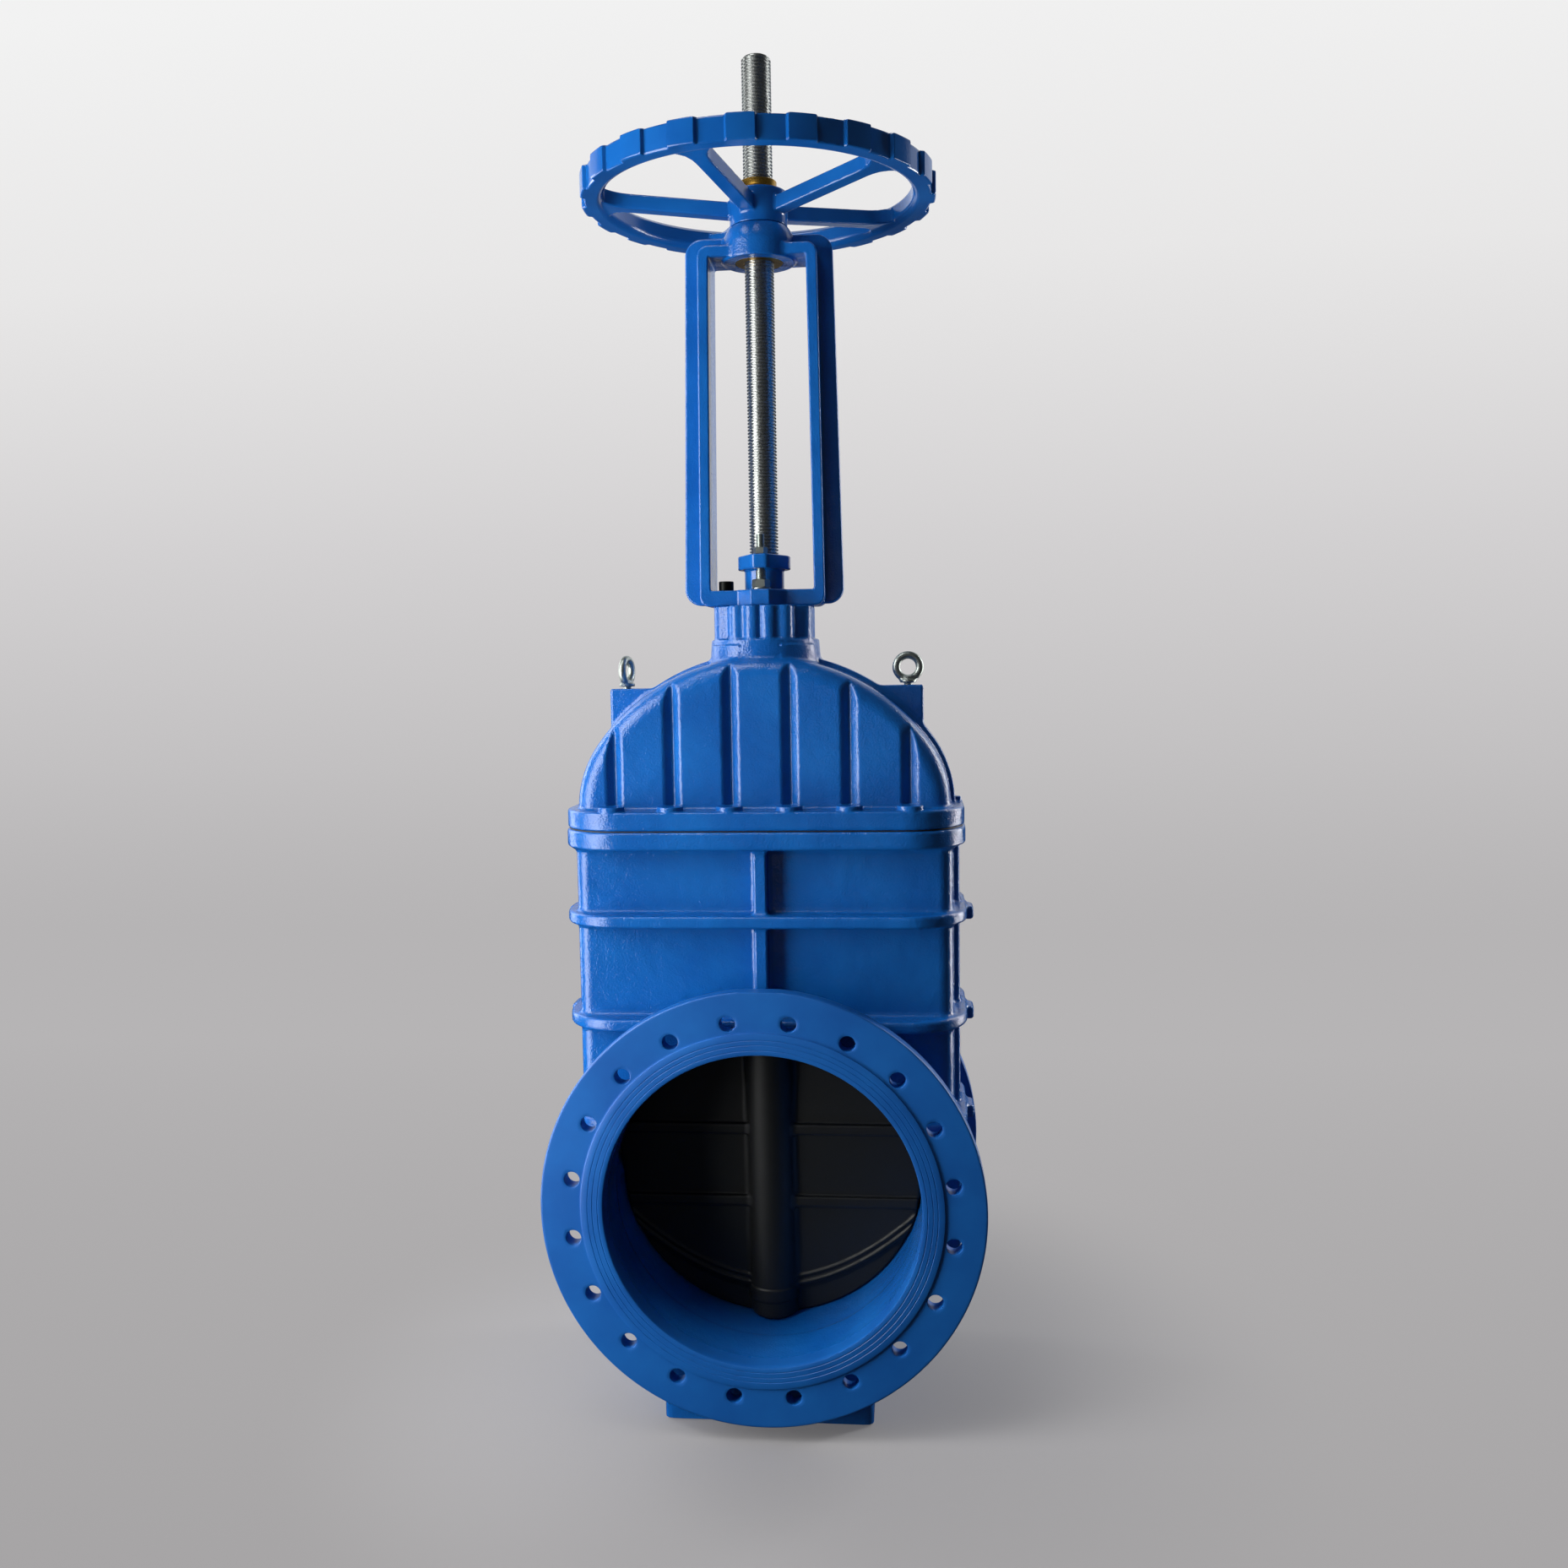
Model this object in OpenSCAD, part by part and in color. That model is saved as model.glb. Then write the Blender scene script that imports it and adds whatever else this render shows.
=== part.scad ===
// Resilient seated gate valve with an outside screw and yoke, a rising stem and a handwheel.
// Millimetres. Origin: middle of the foot's underside, below the stem. +Z up, +Y along the pipe.

/* [Water way and end flanges] */
// Diameter of the bore
bore_d = 600; // [480:10:740]
// Length from face to face
face_to_face = 508; // [480:4:660]
// Wall of the bore between chest and flange
pipe_wall = 18; // [12:1:26]
// Outside diameter of an end flange
flange_d = 840; // [820:5:1020]
// Thickness of an end flange without its raised face
flange_t = 32; // [24:1:48]
// Diameter of the raised face
raised_d = 684; // [660:2:740]
// Height of the raised face
raised_h = 4; // [2:0.5:8]
// Pitch circle of the flange holes
hole_pcd = 725; // [720:1:800]
// Diameter of the flange holes
hole_d = 30; // [20:1:36]
// Number of the flange holes
hole_n = 20; // [12:4:28]
// Width of the flat on the crown of an end flange
crown_flat_w = 86; // [40:2:140]

/* [Body] */
// Height of the bore's axis above the floor
axis_h = 450; // [440:5:600]
// Wall between the bore and the outside of the chest
chest_wall = 62; // [50:1:80]
// Half depth of the chest along the pipe
chest_half_depth = 145; // [125:1:170]
// Wall of the chest's front and back
chest_plate = 16; // [10:1:24]
// Radius of the chest's upright corners
chest_corner_r = 28; // [22:1:60]
// Step by which the guide housing stands out of the chest's side
housing_step = 16; // [10:1:30]
// Half depth of the guide housing
housing_half_depth = 28; // [26:1:60]
// Half width of the guide channel
channel_half_w = 20; // [18:1:22]
// Thickness of the level ribs
rib_t = 24; // [16:1:34]
// Distance that the level ribs stand out of the chest's front
rib_out = 42; // [30:1:60]
// Distance that the level ribs stand out of the chest's side
rib_side_out = 28; // [24:1:36]
// Distance between the level ribs
rib_step = 200; // [150:5:220]
// Number of the level ribs
rib_n = 3; // [2:1:3]
// Width of the upright rib on the middle of the chest
keel_w = 26; // [16:1:40]
// Distance that the upright rib stands out of the chest's front
keel_out = 30; // [20:1:50]
// Distance that a side lug stands out of the chest's side
lug_out = 43; // [38:1:56]
// Half width of the foot
foot_half_w = 204; // [150:2:260]
// Half depth of the foot
foot_half_depth = 180; // [150:2:210]
// Wall of the foot
foot_wall = 26; // [18:1:40]

/* [Joint between body and bonnet] */
// Thickness of the body's top flange
top_flange_t = 35; // [30:1:50]
// Thickness of the bonnet's flange
bonnet_flange_t = 36; // [28:1:50]
// Thickness of the gasket that shows between the flanges
gasket_t = 2; // [1:0.5:4]
// Distance that the top flange stands out of the chest's front
flange_out = 47; // [42:1:70]
// Distance that the top flange stands out of the chest's side
flange_side_out = 26; // [24:1:44]
// Radius of the corners of the top flange and the level ribs
flange_corner_r = 120; // [90:2:140]
// Distance between neighbouring bonnet screws
screw_step = 113; // [90:1:120]
// Diameter of the bonnet screws
screw_d = 20; // [14:2:22]

/* [Bonnet] */
// Rise of the bonnet's arch above its flange
dome_rise = 298; // [270:2:320]
// Radius of the arch at its haunches
haunch_r = 220; // [200:2:240]
// Wall of the bonnet
dome_wall = 16; // [10:1:24]
// Step between the arch's outer band and the bulged face
band_step = 10; // [8:1:26]
// Half depth of the bonnet
dome_half_depth = 135; // [120:1:150]
// Radius of the bonnet's shoulder
shoulder_r = 36; // [28:1:60]
// Width of the upright flutes above the bonnet screws
flute_w = 30; // [18:1:40]
// Depth of the flutes in the bonnet's front and back
flute_depth = 9; // [4:0.5:11]
// Height of the neck above the arch
neck_h = 89; // [70:1:120]
// Radius of the neck
neck_r = 92; // [85:1:110]

/* [Wedge and stem] */
// Gap between the wedge's seal and the bore
seal_gap = 0.5; // [0.3:0.1:1]
// Height of the wedge above the bore
wedge_head = 30; // [20:1:50]
// Half thickness of the wedge at its foot
wedge_foot_half_t = 34; // [28:1:40]
// Half thickness of the wedge at its head
wedge_head_half_t = 62; // [52:1:70]
// Rise of the wedge past the bore when the valve is open
over_rise = 12; // [8:1:20]
// Diameter of the stem over its thread
stem_d = 57; // [50:1:66]
// Length of stem above the handwheel with the valve closed
stem_out = 229; // [150:1:300]

/* [Gland] */
// Diameter of the gland's bush
gland_bush_d = 78; // [76:1:84]
// Thickness of the gland's flange
gland_flange_t = 27; // [18:1:36]
// Height of the gland's flange above the yoke's foot
gland_lift = 40; // [30:1:60]
// Distance of a gland stud from the stem
stud_offset = 66; // [64:1:76]
// Diameter of the gland studs through the gland's flange
stud_d = 16; // [12:2:20]
// Diameter of the gland studs in the bonnet's neck
stud_foot_d = 20; // [14:2:24]

/* [Yoke] */
// Thickness of the yoke's foot plate
yoke_foot_t = 31; // [24:1:40]
// Clear height of the yoke's window
window_h = 630; // [540:5:760]
// Half width of the yoke's window
window_half_w = 97; // [84:1:120]
// Width of a leg's inner strip
leg_strip = 21; // [16:1:30]
// Half depth of a leg's inner strip
leg_half_depth = 50; // [36:1:60]
// Half thickness of a leg's outer web
web_half_t = 14; // [10:1:20]
// Half width of the yoke over its webs at the foot
yoke_foot_half_w = 157; // [145:1:180]
// Half width of the yoke over its webs at the head
yoke_head_half_w = 142; // [135:1:160]
// Height of the yoke's crossbar
crossbar_t = 44; // [34:1:60]
// Diameter of the yoke's hub where it meets the wheel
yoke_hub_d = 112; // [108:1:120]
// Diameter of the yoke's hub at the crossbar
yoke_boss_d = 140; // [130:1:160]

/* [Handwheel] */
// Diameter of the handwheel over its grips
wheel_d = 680; // [560:10:860]
// Number of grips round the rim
grip_n = 20; // [16:2:30]
// Width of the rim
rim_w = 44; // [34:1:56]
// Height of the rim
rim_h = 45; // [34:1:56]
// Height by which the rim stands above the hub's spokes
wheel_dish = 28; // [10:1:50]
// Number of spokes
spoke_n = 5; // [3:1:8]
// Width of a spoke
spoke_w = 30; // [20:1:40]
// Diameter of the wheel's hub
wheel_hub_d = 114; // [100:1:140]

/* [Hidden] */
$fn = 96;

coat = "#1b57b0";
rubber = "#101214";
brass = "#b08a3c";
zinc = "#b9bdbb";
steel = "#8d9190";
black = "#1a1b1a";
plastic = "#d9d4c2";

// Clearances
run_gap = 0.3;
guide_gap = 6;
slack = 0.5;
big = 2000;

// Chest
bore_r = bore_d / 2;
chest_half_w = bore_r + chest_wall;
housing_half_w = chest_half_w + housing_step;
chest_foot_r = bore_r + 40;
cavity_half_w = chest_half_w - chest_plate;
cavity_half_depth = chest_half_depth - chest_plate;
cavity_taper_h = 120;
channel_end = housing_half_w - chest_plate;

// Wedge, measured from the bore's axis
wedge_r = bore_r - seal_gap;
wedge_top = bore_r + wedge_head;
wedge_half_w = cavity_half_w - 28;
wedge_shoulder = 120;
wedge_slope = (wedge_head_half_t - wedge_foot_half_t) / (wedge_shoulder + wedge_r);
wedge_tube_r = 50;
shoe_low = -110;
shoe_high = 20;
shoe_end = channel_end - guide_gap;
shoe_half_w = channel_half_w - guide_gap;
shoe_in = wedge_r + (wedge_half_w - wedge_r) * shoe_high / wedge_shoulder + 1.4;
shoe_tongue_end = shoe_end - 40;
nut_h = 45;
travel = bore_d + over_rise;
roof_gap = 30;

// Levels above the floor
dome_top = axis_h + wedge_top + travel + nut_h + roof_gap + dome_wall + band_step;
dome_base = dome_top - dome_rise;
joint_z = dome_base - bonnet_flange_t - gasket_t;
top_flange_low = joint_z - top_flange_t;
neck_top = dome_top + neck_h;
plate_top = neck_top + yoke_foot_t;
gland_low = plate_top + gland_lift;
gland_top = gland_low + gland_flange_t;
crossbar_low = plate_top + window_h;
crossbar_top = crossbar_low + crossbar_t;
hub_low = crossbar_low - 4;
hub_top = crossbar_top + 18;
washer_t = 2.4;
wheel_low = hub_top + washer_t + 2 * run_gap;
wheel_hub_h = 62;
wheel_hub_top = wheel_low + wheel_hub_h;
ring_h = 21;
ring_top = wheel_hub_top + run_gap + ring_h;
stem_top = ring_top + stem_out;

// Top flange
flange_half_w = chest_half_w + flange_side_out;
flange_half_depth = chest_half_depth + flange_out;
bonnet_inset = 2;
screw_y = (chest_half_depth + flange_half_depth) / 2 - 5;
screw_xs = [for (i = [-2.5:1:2.5]) i * screw_step];
screw_head_d = 1.5 * screw_d;
screw_recess = screw_d + 1;
screw_bite = 30;
screw_boss_h = 9;

// Three-centred arch of the bonnet
arch_half_w = chest_half_w + 8;
haunch_x = arch_half_w - haunch_r;
arch_k = dome_rise - haunch_r;
crown_drop = (haunch_x * haunch_x - arch_k * arch_k) / (2 * arch_k);
crown_r = dome_rise + crown_drop;
haunch_a = atan2(crown_drop, haunch_x);
arch_step = 0.2;

// Neck, gland and yoke
packing_d = 84;
packing_h = 60;
stem_hole_d = stem_d + 2 * run_gap;
stud_top = gland_top + 38;
sleeve_d = 84;
sleeve_neck_d = 74;
sleeve_flange_d = 92;
sleeve_flange_t = 8;
window_taper = 4;

// Handwheel
wheel_r = wheel_d / 2;
grip_h = 8;
rim_r = wheel_r - grip_h;
rim_in_r = rim_r - rim_w + grip_h;
spoke_h = 28;
spoke_low = wheel_low + 18;
rim_low = spoke_low + wheel_dish - 6;
spoke_start = 181.5;

// Eyebolts
eye_x = arch_half_w - 90;
eye_boss_out = eye_x + 30;
eye_boss_top = dome_top - 68;
eye_boss_half_depth = 25;
eye_ring_r = 23;
eye_wire_r = 7.5;
eye_collar_d = 31;
eye_collar_h = 7;
eye_lift = 4;

// Outline with a round corner of radius r[i] at each point p[i], as short straight steps
function corner_arc(a, b, c, r, steps = 6) =
    let (
        u = (a - b) / norm(a - b),
        v = (c - b) / norm(c - b),
        half = acos(u * v) / 2,
        mid = b + (u + v) / norm(u + v) * r / sin(half),
        s = b + u * r / tan(half),
        e = b + v * r / tan(half),
        a0 = atan2(s.y - mid.y, s.x - mid.x),
        a1 = atan2(e.y - mid.y, e.x - mid.x),
        turn = a1 - a0 > 180 ? a1 - a0 - 360 : a1 - a0 < -180 ? a1 - a0 + 360 : a1 - a0
    )
    [for (i = [0:steps]) mid + r * [cos(a0 + turn * i / steps), sin(a0 + turn * i / steps)]];

function rounded(p, r) = [
    for (i = [0:len(p) - 1])
        each r[i] == 0 ? [p[i]]
            : corner_arc(p[(i + len(p) - 1) % len(p)], p[i], p[(i + 1) % len(p)], r[i])
];

// Plan outline with true round corners
module plan_rect(half_w, half_d, r) {
    square([2 * half_w, 2 * (half_d - r)], center = true);
    square([2 * (half_w - r), 2 * half_d], center = true);
    for (x = [-1, 1], y = [-1, 1]) translate([x * (half_w - r), y * (half_d - r)]) circle(r);
}

// Front outline extruded along the pipe, middle on the stem
module along_pipe(half_depth) {
    rotate([90, 0, 0]) linear_extrude(2 * half_depth, center = true) children();
}

// Front outline that is round below the axis and straight above it
module chest_outline(low_r, half_w, taper_h, top) {
    circle(low_r);
    polygon([[-low_r, 0], [low_r, 0], [half_w, taper_h], [half_w, top], [-half_w, top], [-half_w, taper_h]]);
}

module in_body() { translate([0, 0, axis_h]) children(); }

module flange_holes() {
    for (i = [0:hole_n - 1])
        rotate([0, (i + 0.5) * 360 / hole_n, 0]) translate([0, 0, hole_pcd / 2])
            rotate([90, 0, 0]) cylinder(h = face_to_face + 2, d = hole_d, center = true, $fn = 48);
}

module end_flange() {
    difference() {
        union() {
            translate([0, -face_to_face / 2 + raised_h, 0]) rotate([-90, 0, 0])
                cylinder(h = flange_t, d = flange_d, $fn = 180);
            translate([0, -face_to_face / 2, 0]) rotate([-90, 0, 0])
                cylinder(h = flange_t, d = raised_d, $fn = 180);
        }
        translate([-crown_flat_w / 2, -face_to_face, flange_d / 2 - 2.2])
            cube([crown_flat_w, face_to_face, 20]);
    }
}

module chest_outside() {
    top = top_flange_low - axis_h + 1;
    intersection() {
        along_pipe(chest_half_depth) chest_outline(chest_foot_r, chest_half_w, 100, top);
        translate([0, 0, -big / 2]) linear_extrude(big + top)
            plan_rect(chest_half_w, chest_half_depth, chest_corner_r);
    }
    along_pipe(housing_half_depth) {
        polygon(rounded(
            [[-housing_half_w, top], [-housing_half_w, shoe_low - 40], [-chest_half_w + 40, shoe_low - 110],
             [chest_half_w - 40, shoe_low - 110], [housing_half_w, shoe_low - 40], [housing_half_w, top]],
            [0, 60, 30, 30, 60, 0]));
    }
}

module level_ribs() {
    for (i = [0:rib_n - 1]) {
        z = top_flange_low - axis_h - 125 - i * rib_step - rib_t;
        translate([0, 0, z]) linear_extrude(rib_t)
            plan_rect(chest_half_w + rib_side_out, chest_half_depth + rib_out, flange_corner_r - 5);
        translate([0, 0, z - 10]) linear_extrude(rib_t + 2)
            square([2 * (chest_half_w + lug_out), 2 * housing_half_depth], center = true);
    }
}

module keels() {
    low = bore_r;
    high = top_flange_low - axis_h + 1;
    for (y = [-1, 1]) translate([-keel_w / 2, y > 0 ? 0 : -chest_half_depth - keel_out, low])
        cube([keel_w, chest_half_depth + keel_out, high - low]);
}

module foot() {
    difference() {
        translate([-foot_half_w, -foot_half_depth, -axis_h])
            cube([2 * foot_half_w, 2 * foot_half_depth, axis_h - chest_foot_r + 60]);
        translate([-foot_half_w + foot_wall, -foot_half_depth + foot_wall, -axis_h - 1])
            cube([2 * (foot_half_w - foot_wall), 2 * (foot_half_depth - foot_wall),
                  axis_h - chest_foot_r - foot_wall + 1]);
    }
}

module body_cavity() {
    top = joint_z - axis_h + 1;
    intersection() {
        along_pipe(cavity_half_depth)
            chest_outline(bore_r, cavity_half_w, cavity_taper_h, top);
        translate([0, 0, -big / 2]) linear_extrude(big + top)
            plan_rect(cavity_half_w, cavity_half_depth, chest_corner_r - chest_plate);
    }
    translate([-channel_end, -channel_half_w, shoe_low - 20])
        cube([2 * channel_end, 2 * channel_half_w, top - shoe_low + 20]);
}

module body() {
    color(coat) difference() {
        union() {
            in_body() {
                for (a = [0, 180]) rotate([0, 0, a]) end_flange();
                rotate([90, 0, 0])
                    cylinder(h = face_to_face - 2 * raised_h - 2, r = bore_r + pipe_wall,
                             center = true, $fn = 180);
                chest_outside();
                level_ribs();
                keels();
                foot();
            }
            translate([0, 0, top_flange_low]) linear_extrude(top_flange_t)
                plan_rect(flange_half_w, flange_half_depth, flange_corner_r);
        }
        in_body() {
            rotate([90, 0, 0]) cylinder(h = face_to_face + 2, d = bore_d, center = true, $fn = 180);
            body_cavity();
            flange_holes();
        }
        for (x = screw_xs, y = [-screw_y, screw_y]) translate([x, y, top_flange_low]) {
            cylinder(h = top_flange_t + 1, d = screw_d + 2, $fn = 48);
            translate([0, 0, -1]) cylinder(h = screw_recess + 1, d = screw_head_d + 3, $fn = 48);
        }
    }
}

module bonnet_gasket() {
    color(black) translate([0, 0, joint_z]) linear_extrude(gasket_t) difference() {
        plan_rect(flange_half_w - bonnet_inset - 3, flange_half_depth - bonnet_inset - 3,
                  flange_corner_r - 7);
        plan_rect(channel_end, cavity_half_depth, chest_corner_r - chest_plate);
        for (x = screw_xs, y = [-screw_y, screw_y]) translate([x, y]) circle(d = screw_d + 2, $fn = 48);
    }
}

// Section through the bonnet's shell, from the arch's centre outwards
module shell_section(r, half_d, corner) {
    translate([0, -half_d]) square([r - corner, 2 * half_d]);
    translate([0, -half_d + corner]) square([r, 2 * (half_d - corner)]);
    for (y = [-1, 1]) translate([r - corner, y * (half_d - corner)]) circle(corner, $fn = 64);
}

// Solid arch, inset from the outer band, from the bonnet flange's top upwards
module arch(inset, half_d, corner) {
    intersection() {
        translate([0, 0, dome_base]) {
            for (m = [0, 1]) mirror([m, 0, 0]) translate([haunch_x, 0, 0]) rotate([90, 0, 0])
                rotate([0, 0, -6]) rotate_extrude(angle = haunch_a + 14, $fn = 180)
                    shell_section(haunch_r - inset - arch_step, half_d - arch_step, corner);
            translate([0, 0, -crown_drop]) rotate([90, 0, 0]) rotate([0, 0, haunch_a])
                rotate_extrude(angle = 180 - 2 * haunch_a, $fn = 180)
                    shell_section(crown_r - inset, half_d, corner);
        }
        translate([-big / 2, -big / 2, dome_base]) cube([big, big, big]);
    }
}

module dome_flutes() {
    clear = 4;
    mouth = flute_w / 2 * (1 + clear / flute_depth);
    for (x = screw_xs, a = [0, 180]) rotate([0, 0, a])
        translate([x, -dome_half_depth, dome_base + screw_boss_h])
            linear_extrude(dome_rise)
                polygon([[-mouth, -clear], [mouth, -clear], [2, flute_depth], [-2, flute_depth]]);
}

module eye_bosses() {
    for (m = [0, 1]) mirror([m, 0, 0])
        translate([eye_x - 108, -eye_boss_half_depth, dome_base + 120])
            cube([eye_boss_out - eye_x + 108, 2 * eye_boss_half_depth, eye_boss_top - dome_base - 120]);
}

module neck() {
    low = dome_top - 70;
    translate([0, 0, low]) cylinder(h = neck_top - low, r = neck_r);
    translate([0, 0, low]) cylinder(h = 70 + 25, r1 = neck_r + 21, r2 = neck_r + 14);
    for (end = [0, 180], side = [-1, 1], lobe = [[10, 18], [30, 18], [62, 26]])
        rotate([0, 0, end + side * lobe[0]]) translate([0, lobe[1] - neck_r - 13, low])
            cylinder(h = neck_top - low, r = lobe[1]);
}

module bonnet_flange() {
    translate([0, 0, joint_z + gasket_t]) linear_extrude(bonnet_flange_t)
        plan_rect(flange_half_w - bonnet_inset, flange_half_depth - bonnet_inset,
                  flange_corner_r - bonnet_inset);
    for (x = screw_xs, y = [-screw_y, screw_y])
        translate([x, y, dome_base - 1]) cylinder(h = screw_boss_h + 1, d = 2.5 * screw_d);
    for (m = [0, 1]) mirror([m, 0, 0]) translate([flange_half_w - bonnet_inset - 12, 0, dome_base - 1])
        cylinder(h = 11, d = 18);
}

module bonnet() {
    color(coat) difference() {
        union() {
            arch(band_step, dome_half_depth, shoulder_r);
            arch(0, housing_half_depth, 5);
            eye_bosses();
            neck();
            bonnet_flange();
        }
        dome_flutes();
        arch(band_step + dome_wall, dome_half_depth - dome_wall, shoulder_r - dome_wall);
        translate([0, 0, joint_z]) linear_extrude(gasket_t + bonnet_flange_t + 1)
            plan_rect(cavity_half_w - 14, dome_half_depth - dome_wall - 3, shoulder_r - dome_wall);
        cylinder(h = big * 2, d = stem_hole_d);
        translate([0, 0, neck_top - packing_h]) cylinder(h = packing_h + 1, d = packing_d);
        for (x = screw_xs, y = [-screw_y, screw_y])
            translate([x, y, joint_z])
                cylinder(h = gasket_t + screw_bite, d = screw_d + 2 * run_gap, $fn = 48);
        for (y = [-1, 1]) translate([0, y * stud_offset, neck_top - 40])
            cylinder(h = 41, d = stud_foot_d + 2 * run_gap, $fn = 48);
        for (x = [-1, 1]) translate([x * eye_x, 0, eye_boss_top - 30])
            cylinder(h = 31, d = stud_d + 2 * run_gap, $fn = 48);
        translate([-yoke_screw_x, -yoke_screw_y, neck_top - 30])
            cylinder(h = 31, d = stud_d + 4 + 2 * run_gap, $fn = 48);
    }
}

// Socket head screws that come up through the body's flange
module bonnet_screws(side) {
    color(zinc) for (x = screw_xs) translate([x, side * screw_y, 0]) {
        translate([0, 0, top_flange_low + 1]) difference() {
            cylinder(h = screw_d, d = screw_head_d, $fn = 48);
            translate([0, 0, -1]) cylinder(h = screw_d / 2, d = screw_d * 0.9, $fn = 6);
        }
        translate([0, 0, top_flange_low + screw_recess])
            cylinder(h = top_flange_t - screw_recess + gasket_t + screw_bite - 2, d = screw_d, $fn = 48);
    }
}

module front_bonnet_screws() { bonnet_screws(-1); }

module back_bonnet_screws() { bonnet_screws(1); }

yoke_screw_x = 72;
yoke_screw_y = 30;

module yoke_ring(foot_w, head_w, low, high, r) {
    polygon(rounded([[-foot_w, low], [foot_w, low], [head_w, high], [-head_w, high]], [r, r, r, r]));
}

module yoke_foot() {
    translate([0, 0, neck_top]) linear_extrude(yoke_foot_t) {
        polygon(rounded([[-46, -leg_half_depth], [-18, -90], [18, -90], [46, -leg_half_depth],
                         [46, leg_half_depth], [18, 90], [-18, 90], [-46, leg_half_depth]],
                        [3, 8, 8, 3, 3, 8, 8, 3]));
    }
}

module yoke() {
    strip_foot = window_half_w + window_taper + leg_strip;
    strip_head = window_half_w - window_taper + leg_strip;
    color(coat) difference() {
        union() {
            along_pipe(leg_half_depth) difference() {
                yoke_ring(strip_foot, strip_head, neck_top, crossbar_low + leg_strip, 20);
                yoke_ring(strip_foot - leg_strip, strip_head - leg_strip, plate_top, crossbar_low, 4);
            }
            along_pipe(web_half_t) difference() {
                yoke_ring(yoke_foot_half_w, yoke_head_half_w, neck_top + 4, crossbar_top, 32);
                yoke_ring(strip_foot - leg_strip / 2, strip_head - leg_strip / 2,
                          neck_top + 16, crossbar_low + 8, 16);
            }
            yoke_foot();
            translate([0, 0, hub_low]) cylinder(h = crossbar_top - hub_low, d = yoke_boss_d);
            translate([0, 0, crossbar_top - 1]) cylinder(h = 19, d1 = yoke_boss_d, d2 = yoke_hub_d);
        }
        translate([0, 0, neck_top - 1]) cylinder(h = yoke_foot_t + 2, d = packing_d);
        for (y = [-1, 1]) translate([0, y * stud_offset, neck_top - 1])
            cylinder(h = yoke_foot_t + 2, d = stud_foot_d + 2, $fn = 48);
        translate([-yoke_screw_x, -yoke_screw_y, neck_top - 1])
            cylinder(h = yoke_foot_t + 2, d = stud_d + 4 + 2, $fn = 48);
        translate([0, 0, hub_low - 1]) cylinder(h = hub_top - hub_low + 2, d = sleeve_d + 2 * run_gap);
        translate([0, 0, hub_low - 1])
            cylinder(h = sleeve_flange_t + 1 + run_gap, d = sleeve_flange_d + 2 * run_gap);
    }
}

module yoke_screw() {
    d = stud_d + 4;
    color(black) translate([-yoke_screw_x, -yoke_screw_y, 0]) {
        translate([0, 0, neck_top - 28]) cylinder(h = 28 + yoke_foot_t, d = d, $fn = 48);
        translate([0, 0, plate_top]) difference() {
            cylinder(h = d - 2, d = 1.45 * d, $fn = 48);
            translate([0, 0, d / 2]) cylinder(h = d, d = 0.95 * d, $fn = 6);
        }
    }
}

module stem_packing() {
    color(black) translate([0, 0, neck_top - packing_h]) difference() {
        cylinder(h = 40, d = packing_d);
        translate([0, 0, -1]) cylinder(h = 42, d = stem_hole_d);
    }
}

module gland() {
    color(coat) difference() {
        union() {
            translate([0, 0, neck_top - packing_h + 40])
                cylinder(h = gland_low - neck_top + packing_h - 40, d = gland_bush_d);
            translate([0, 0, gland_low]) linear_extrude(gland_flange_t) {
                circle(52);
                polygon(rounded([[-24, -66], [-16, -86], [16, -86], [24, -66],
                                 [24, 66], [16, 86], [-16, 86], [-24, 66]],
                                [8, 6, 6, 8, 8, 6, 6, 8]));
            }
        }
        translate([0, 0, neck_top - packing_h]) cylinder(h = big, d = stem_hole_d);
        for (y = [-1, 1]) translate([0, y * stud_offset, gland_low - 1])
            cylinder(h = gland_flange_t + 2, d = stud_d + 1, $fn = 48);
    }
}

module gland_stud(side) {
    color(zinc) translate([0, side * stud_offset, neck_top - 38]) {
        cylinder(h = stud_top - neck_top + 38, d = stud_d, $fn = 48);
        cylinder(h = gland_low - 3 - neck_top + 38, d = stud_foot_d, $fn = 48);
    }
}

module front_gland_stud() { gland_stud(-1); }

module back_gland_stud() { gland_stud(1); }

module stud_nut(side, z, d) {
    color(zinc) translate([0, side * stud_offset, z]) difference() {
        cylinder(h = 0.8 * d, d = 1.5 * d / cos(30), $fn = 6);
        translate([0, 0, -1]) cylinder(h = d + 2, d = d + run_gap, $fn = 48);
    }
}

module plate_washer(side) {
    color(zinc) translate([0, side * stud_offset, plate_top]) difference() {
        cylinder(h = 3, d = 1.8 * stud_foot_d, $fn = 48);
        translate([0, 0, -1]) cylinder(h = 5, d = stud_foot_d + run_gap, $fn = 48);
    }
}

module front_gland_nut() { stud_nut(-1, gland_top, stud_d); }

module back_gland_nut() { stud_nut(1, gland_top, stud_d); }

module front_yoke_nut() { stud_nut(-1, plate_top + 3, stud_foot_d); }

module back_yoke_nut() { stud_nut(1, plate_top + 3, stud_foot_d); }

module front_yoke_nut_washer() { plate_washer(-1); }

module back_yoke_nut_washer() { plate_washer(1); }

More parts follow.
